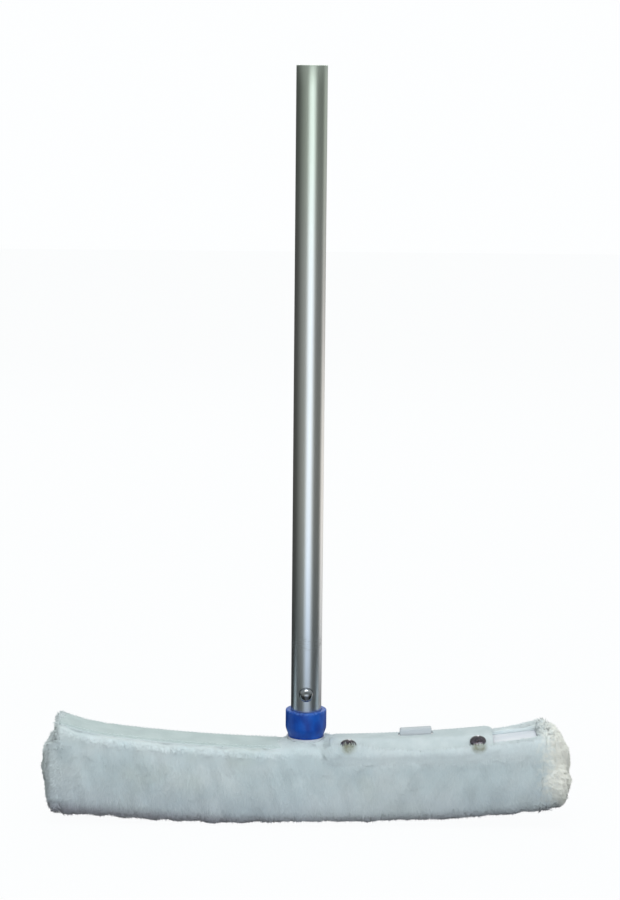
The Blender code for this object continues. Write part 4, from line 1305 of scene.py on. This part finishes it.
def even_grid(*ranges):
    """One grid for each range (start, end, count), of every combination of their values."""
    return np.meshgrid(*(np.linspace(*each) for each in ranges), indexing="ij")


WEBBING = 0.0013
BAND_FRONT, BAND_BACK = -0.0140, 0.0215
x, y = even_grid((-0.2055, -0.0195, 150), (BAND_FRONT, BAND_BACK, 26))
across = (y - BAND_FRONT) / (BAND_BACK - BAND_FRONT)
droop = 0.0011 * (np.abs(2 * across - 1) ** 6)
z = 0.0652 - droop + 0.00025 * lumps(vectors(x * 1.5, y, 0.0))
top_band = sheet_between("top_band", vectors(x, y, z), WEBBING)
settle(top_band, "applicator", "white_webbing", webbing, "top_binding")

x, down = even_grid((0.0228, 0.1928, 150), (-0.0012, 0.0105, 12))
y, z = on_slope(down, 0)
z = z + 0.0011 / math.cos(SLOPE) + np.minimum(down, 0) * 0.9
z = z + 0.0002 * lumps(vectors(x * 2, y, 0.0))
hem = sheet_between("hem_band", vectors(x, y, z + wall_rise(x)), WEBBING)
settle(hem, "applicator", "white_webbing", webbing, "slit_hem")

FOLD_WIDTH = 0.0104
x, share = even_grid((0.0216, FLAP_ENDS[1], 110), (0, 1, 12))
crest = 0.0640 - 0.0031 * ((x - 0.088) / 0.068) ** 2
z = crest + (share - 1) * FOLD_WIDTH
middle = vectors(x, 0.0246, z + wall_rise(x, 0.0235))
fold = sheet_between("hinge_fold", middle, 0.0009)
settle(fold, "applicator", "white_webbing", webbing)

# %% [markdown]
# ## Closure flap
#
# The flap is one piece of smooth cloth, sewn down along its back edge, with a window for the
# lug. It runs up over the bar and down the slope to the snaps. Its path across is a soft
# outline, and it is carried along the bar with small puckers that fade out at the snaps. Two
# stains lie under the caps.

# %% Flap cloth
WINDOW_X = (0.07795, 0.10685)
WINDOW_Y = (0.0012, 0.0137)
FLAP_HEIGHT = 0.0054
CORNER = 0.0060
across_flap = [
    (0.0235, 0.0656),
    (0.0190, 0.0680),
    (0.0120, 0.0687),
    (-0.0105, 0.0687),
    on_slope(-0.0035, FLAP_HEIGHT),
    on_slope(0.0098, FLAP_HEIGHT),
]
path = open_rounded(across_flap, 0.0035, 7)
gaps = np.linalg.norm(np.diff(path, axis=0), axis=1)
run = np.r_[0, np.cumsum(gaps)]
FLAP_DEPTH = float(run[-1])
stops = np.linspace(0, FLAP_DEPTH, 44)
window_stops = np.interp([-v for v in WINDOW_Y], -path[:, 0], run)
stops = np.unique(np.r_[stops, window_stops])
columns_x = np.unique(np.r_[np.linspace(*FLAP_ENDS, 100), WINDOW_X])
x, s = np.meshgrid(columns_x, stops, indexing="ij")
inset = np.minimum(x - FLAP_ENDS[0], FLAP_ENDS[1] - x)
corner = np.clip(1 - inset / CORNER, 0, 1)
s = s * (1 - CORNER * (1 - np.sqrt(1 - corner**2)) / FLAP_DEPTH)


def along_flap(s):
    """Point in (y, z) on the flap's middle surface at a length s from its sewn edge."""
    return np.interp(s, run, path[:, 0]), np.interp(s, run, path[:, 1])


y, z = along_flap(s)
front = s / FLAP_DEPTH
snap_gap = np.min([np.abs(x - at) for at in SNAPS], axis=0)
loose = np.clip(snap_gap / 0.016, 0, 1) ** 2
pucker = 0.0003 * front**3 + 0.00045 * front * lumps(vectors(x * 2.2, s, 0.0))
z = z - 0.0015 * corner**2 + loose * pucker
middle = vectors(x, y, z + wall_rise(x, y))
cell_x = (columns_x[1:] + columns_x[:-1]) / 2
cell_s = (stops[1:] + stops[:-1]) / 2
in_x = (cell_x > WINDOW_X[0]) & (cell_x < WINDOW_X[1])
in_s = (cell_s > min(window_stops)) & (cell_s < max(window_stops))
keep = ~(in_x[:, None] & in_s[None, :])

cloth, spot, base = woven("flap_cloth", 260, (0.58, 0.64, 0.67), (0.50, 0.57, 0.60), 0.7)
cx, cy, cz = cloth.axes(spot)
stains = []
for at in SNAPS:
    seat_z = 0.0570 + float(bow_rise(at) + wall_rise(at))
    side, deep, up = cx - at, cy + 0.0215, cz - seat_z
    far = (side * side + deep * deep + up * up) ** 0.5
    stains.append(1 - far.over(0.004, 0.0105))
blot = (stains[0] + stains[1]) * cloth.noise(spot, 420, 3.0).over(0.35, 0.6)
cloth.give({"Base Color": cloth.mix(blot * 0.8, base, (0.13, 0.13, 0.07, 1))})

flap = sheet_between("flap_sheet", middle, 0.0015, keep)
settle(flap, "flap", "flap_cloth", cloth, "closure_flap")

# %% [markdown]
# ## Stitches
#
# Lockstitch shows as a row of short thread arcs that dip into the cloth at both ends. One
# arc is a small tube of five rings, and a whole row is made in one go along a line.


# %% Stitching
STITCH_PITCH = 0.0032
STITCH_LENGTH = 0.0024
THREAD_RADIUS = 0.00024


def seam(name, line, lift, body, slot):
    """Stitch point at t from -1 to 1 is centre + tangent t L/2 + lift (0.22 - 0.60 t^2) mm."""
    gaps = np.linalg.norm(np.diff(line, axis=0), axis=1)
    run = np.r_[0, np.cumsum(gaps)]
    centres = np.arange(STITCH_PITCH / 2, run[-1], STITCH_PITCH)

    def at(where):
        return np.stack([np.interp(where, run, line[:, k]) for k in range(3)], -1)

    tangent = unit(at(centres + 0.0005) - at(centres - 0.0005))
    out = np.broadcast_to(unit(np.array(lift)), tangent.shape)
    side = unit(np.cross(tangent, out))
    t = np.linspace(-1, 1, 5)[None, :, None]
    path = at(centres)[:, None] + tangent[:, None] * t * STITCH_LENGTH / 2
    path = path + out[:, None] * (0.00022 - 0.00060 * t**2)
    turn = (np.arange(5) * 2 * math.pi / 5)[:, None]
    ring = np.cos(turn) * side[:, None, None] + np.sin(turn) * out[:, None, None]
    made = tubes_from(name, path[:, :, None] + ring * THREAD_RADIUS)
    settle(made, body, slot, thread)


thread = Finish("sewing_thread", Roughness=0.6)
ply = thread.waves(thread.place(), "DIAGONAL", 900, 0.5)
thread.give(
    {
        "Base Color": thread.mix(ply, (0.48, 0.56, 0.58, 1), (0.78, 0.84, 0.84, 1)),
        "Normal": thread.bump(ply, 0.5, 0.0001),
    }
)


def straight_line(start, end, y, z):
    """Points of a line along the head at one (y, z), bowed."""
    return bowed(vectors(np.linspace(start, end, 120), y, z))


for label, y in (("front", -0.0118), ("back", 0.0193)):
    line = straight_line(-0.2020, -0.0240, y, 0.06572)
    seam("seam_band_" + label, line, (0, 0, 1), "applicator", "white_webbing")

line = straight_line(0.0245, 0.1910, *on_slope(0.0085, 0.0018))
line[:, 2] += wall_rise(line[:, 0])
lift = (0, -math.sin(SLOPE), math.cos(SLOPE))
seam("seam_hem", line, lift, "applicator", "white_webbing")

for label, s in (("hinge", 0.0030), ("front", FLAP_DEPTH - 0.0025)):
    (y, z), ahead = along_flap(s), along_flap(s + 0.0005)
    lift = unit(np.array([0.0, z - ahead[1], ahead[0] - y]))
    lift = lift * np.sign(lift[2])
    line = straight_line(0.0245, 0.1530, y, z) + lift * 0.00078
    line[:, 2] += wall_rise(line[:, 0], y)
    seam("seam_flap_" + label, line, lift, "flap", "flap_cloth")

# %% [markdown]
# ## Snap fasteners
#
# A snap is four turned parts: a domed cap and a socket ring on the flap, a stud and its post
# on the sleeve. The caps are plated nearly black with a purple cast, and rust comes through
# in specks. All are turned in the snap's own frame, which leans with the slope.

# %% Snap finishes
gunmetal = Finish("snap_gunmetal", Metallic=0.85, Coat_Weight=1.0, Coat_Roughness=0.07)
spot = gunmetal.place()
worn = gunmetal.noise(spot, 500, 3.0)
rust = gunmetal.noise(spot, 700, 4.0).over(0.55, 0.72)
base = gunmetal.mix(worn.over(0.35, 0.7), (0.030, 0.020, 0.036, 1), (0.085, 0.070, 0.10, 1))
gunmetal.give(
    {
        "Base Color": gunmetal.mix(rust * 0.6, base, (0.10, 0.055, 0.025, 1)),
        "Roughness": 0.16 + worn * 0.14 + rust * 0.25,
        "Normal": gunmetal.bump(worn, 0.2, 0.0001),
    }
)
brass, _ = bare_metal(
    "snap_brass", 400, 3.0, 0.35, (0.50, 0.39, 0.20), (0.26, 0.20, 0.12), 0.25, 0.3
)
print("snap finishes ready")


# %% Snap parts
def snap_frame(x):
    """Frame of one snap: its Z axis points out of the bowed slope."""
    seat = Vector((x, *on_slope(0.003, 0)))
    seat.z += float(bow_rise(x) + wall_rise(x))
    lean = Matrix.Rotation(math.atan(WALL_RISE / WALL_RUN) - math.asin(x / BOW_RADIUS), 4, "Y")
    return Matrix.Translation(seat) @ lean @ Matrix.Rotation(SLOPE, 4, "X")


def tenths(*corners):
    """Corners (r, h) of a turned outline that is given in tenths of a millimetre."""
    return [(r / 10000, h / 10000) for r, h in corners]


CAP_FOOT, CAP_RADIUS, CAP_RIM, CAP_RISE = 0.0078, 0.0068, 0.0008, 0.0030
angle = np.linspace(0, math.pi / 2, 16)[1:]
height = CAP_FOOT + CAP_RIM + (CAP_RISE - CAP_RIM) * np.sin(angle)
dome = vectors(CAP_RADIUS * np.cos(angle), height)
dome[-1, 0] = 0
rim = [(CAP_RADIUS - 0.0003, CAP_FOOT), (CAP_RADIUS, CAP_FOOT + 0.0003)]
stem = tenths((0, 53), (13, 53), (14, 54), (14, 78))
cap_profile = np.concatenate([stem, rim, [(CAP_RADIUS, CAP_FOOT + CAP_RIM)], dome])
ring_corners = tenths((31, 33), (50, 33), (50, 56), (17, 56), (17, 50), (31, 50))
ring_profile = rounded(ring_corners, 0.0003, [1] * 6, arc=4)
stud_foot = tenths((0, 36), (12, 36), (12, 25), (45, 25))
stud_head = tenths((45, 30), (19, 30), (19, 46), (0, 46))
stud_profile = open_rounded(stud_foot + stud_head, 0.0002, 4)
post_corners = tenths((0, -13), (30, -13), (30, -5), (10, -5), (10, 33), (0, 33))
post_profile = open_rounded(post_corners, 0.0002, 4)
snap_parts = (
    ("cap", "cap_", capped, cap_profile, 64, "flap", "snap_gunmetal", gunmetal),
    ("socket", "ring_", turned, ring_profile, 64, "flap", "snap_brass", brass),
    ("stud", "stud_", capped, stud_profile, 48, "applicator", "snap_brass", brass),
    ("post", "post_", capped, post_profile, 48, "applicator", "snap_brass", brass),
)
for side, x in zip(("inner", "outer"), SNAPS):
    for kind, label, form, profile, sides, body, slot, finish in snap_parts:
        made = form(label + side, profile, sides, snap_frame(x))
        settle(made, body, slot, finish, "snap_" + kind + "_" + side)

# %% [markdown]
# ## Floor and light
#
# The backdrop and floor are plain and pale. A satin tube shows whatever stands around it, so
# the floor and the room glow by direction: a bright band in front gives the streak down the
# tube's middle, and the dark left and the warm band behind shade its edges. The front panel
# lights the head but stays out of the reflections, as does the one behind. A panel overhead
# lights the top of the fleece, and a small bright window behind puts the highlights on the
# snap caps.

# %% Floor
def lights_round(nodes, x, y, back):
    """Brightness seen from the tube by direction, from the angle atan2(x, -y) in radians.

    It climbs from the dark left to a bright band in front, falls again to the right, and
    ends in a warm band behind on the right, of strength back. The level comes with the
    shares of the front band and of the warm band in it."""
    turn = nodes.node("Math", {"operation": "ARCTAN2"}, {0: x, 1: y * -1})
    flank = turn.over(-1.9, -0.5) * 0.28 - turn.over(0.55, 0.85) * 0.18
    front = turn.over(-0.52, -0.08) * (1 - turn.over(0.26, 0.68))
    warmth = turn.over(1.68, 2.0) * (1 - turn.over(2.45, 2.85) * 0.6)
    return 0.06 + flank + front * 1.22 + warmth * back, front, warmth


x, y = even_grid((-6, 6, 5), (-6, 6, 5))
floor = piece_from("floor", vectors(x, y, -0.0001), grid_quads(5, 5), closed=False)
ground = Finish("pale_floor", Roughness=0.9)
ground.give({"Base Color": (0.80, 0.80, 0.81, 1)})
seen = ground.node("LightPath", output="Is Camera Ray")
glow = ground.node("Emission", inputs={"Color": (0.985, 0.995, 1.0, 1), "Strength": 1.0})
x, y, _ = ground.axes(ground.place())
far = (x * x + y * y) ** 0.5
level, streak, warmth = lights_round(ground, x, y, 0.32 + 0.65 * (1 - far.over(2.2, 4.2)))
# Painted shadow: the floor's glow drops within 0.3 to 0.7 m of the tube, as the head's shadow
# seen in reflections.
level = level * (0.16 + 0.66 * far.over(0.30, 0.70) + 0.18 * far.over(0.7, 1.3))
hue = ground.mix(streak, (0.97, 1.0, 0.89, 1), (0.84, 0.92, 1.0, 1))
hue = ground.mix(warmth, hue, (1.0, 0.95, 0.87, 1))
dull = ground.node("Emission", inputs={"Color": hue, "Strength": level})
lit = Value(ground, ground.shader.outputs[0])
pale = ground.node("MixShader", inputs={0: 0.97, 1: lit, 2: glow})
both = ground.node("MixShader", inputs={0: seen, 1: dull, 2: pale})
ground.feed(ground.tree.nodes["Material Output"].inputs["Surface"], both)
floor.data.materials.append(ground.material)
print("floor ready")

# %% Room and lamps
room = bpy.data.worlds.new("room")
bpy.context.scene.world = room
sky = Nodes(room)
x, y, z = sky.axes(sky.node("TexCoord", output="Generated"))
low = 1 - z.over(0.05, 0.25)
ring, _, _ = lights_round(sky, x, y, 0.35)
above = 0.16 + x.over(-0.2, 0.9) * 0.22 + (x * -1).over(0.1, 0.9) * 0.18
above = above + z.over(0.1, 0.9) * 0.35
wall = y.over(0.80, 0.95) * z.over(0.02, 0.08) * (1 - z.over(0.45, 0.70)) * (1 - x.over(0.2, 0.5))
level = ring * low + above * (1 - low) + wall * 0.9
seen = sky.node("LightPath", output="Is Camera Ray")
colour = sky.mix(seen, (0.94, 1.0, 0.95, 1), (0.985, 0.995, 1.0, 1))
strength = seen + (1 - seen) * level
background = sky.tree.nodes["Background"]
sky.feed(background.inputs["Color"], colour)
sky.feed(background.inputs["Strength"], strength)


def panel(name, place, target, size, power, colour=(1, 1, 1)):
    """Rectangular soft lamp at a place, turned to a target."""
    lamp = bpy.data.lights.new(name, "AREA")
    lamp.shape = "RECTANGLE"
    lamp.size, lamp.size_y = size
    lamp.energy = power
    lamp.color = colour
    made = added(name, lamp)
    made.location = place
    made.rotation_euler = (Vector(target) - Vector(place)).to_track_quat("-Z", "Y").to_euler()
    made.visible_camera = False
    return made


front = panel("front_panel", (0.28, -2.6, 0.85), (0, 0, 0.35), (1.7, 1.9), 40, (0.96, 0.99, 1.0))
back = panel("back_panel", (-0.3, 2.4, 1.5), (0, 0, 0.1), (1.6, 1.6), 14, (0.97, 1.0, 1.0))
front.visible_glossy = back.visible_glossy = False
panel("window_behind", (0.17, 1.9, 1.28), (0.10, 0, 0.07), (0.22, 0.15), 2.8)
panel("top_panel", (0.1, -0.7, 2.2), (0, 0, 0.1), (1.6, 1.1), 18.5, (0.97, 1.0, 1.0))
bpy.context.scene.view_settings.view_transform = "Standard"
print("lamps ready")
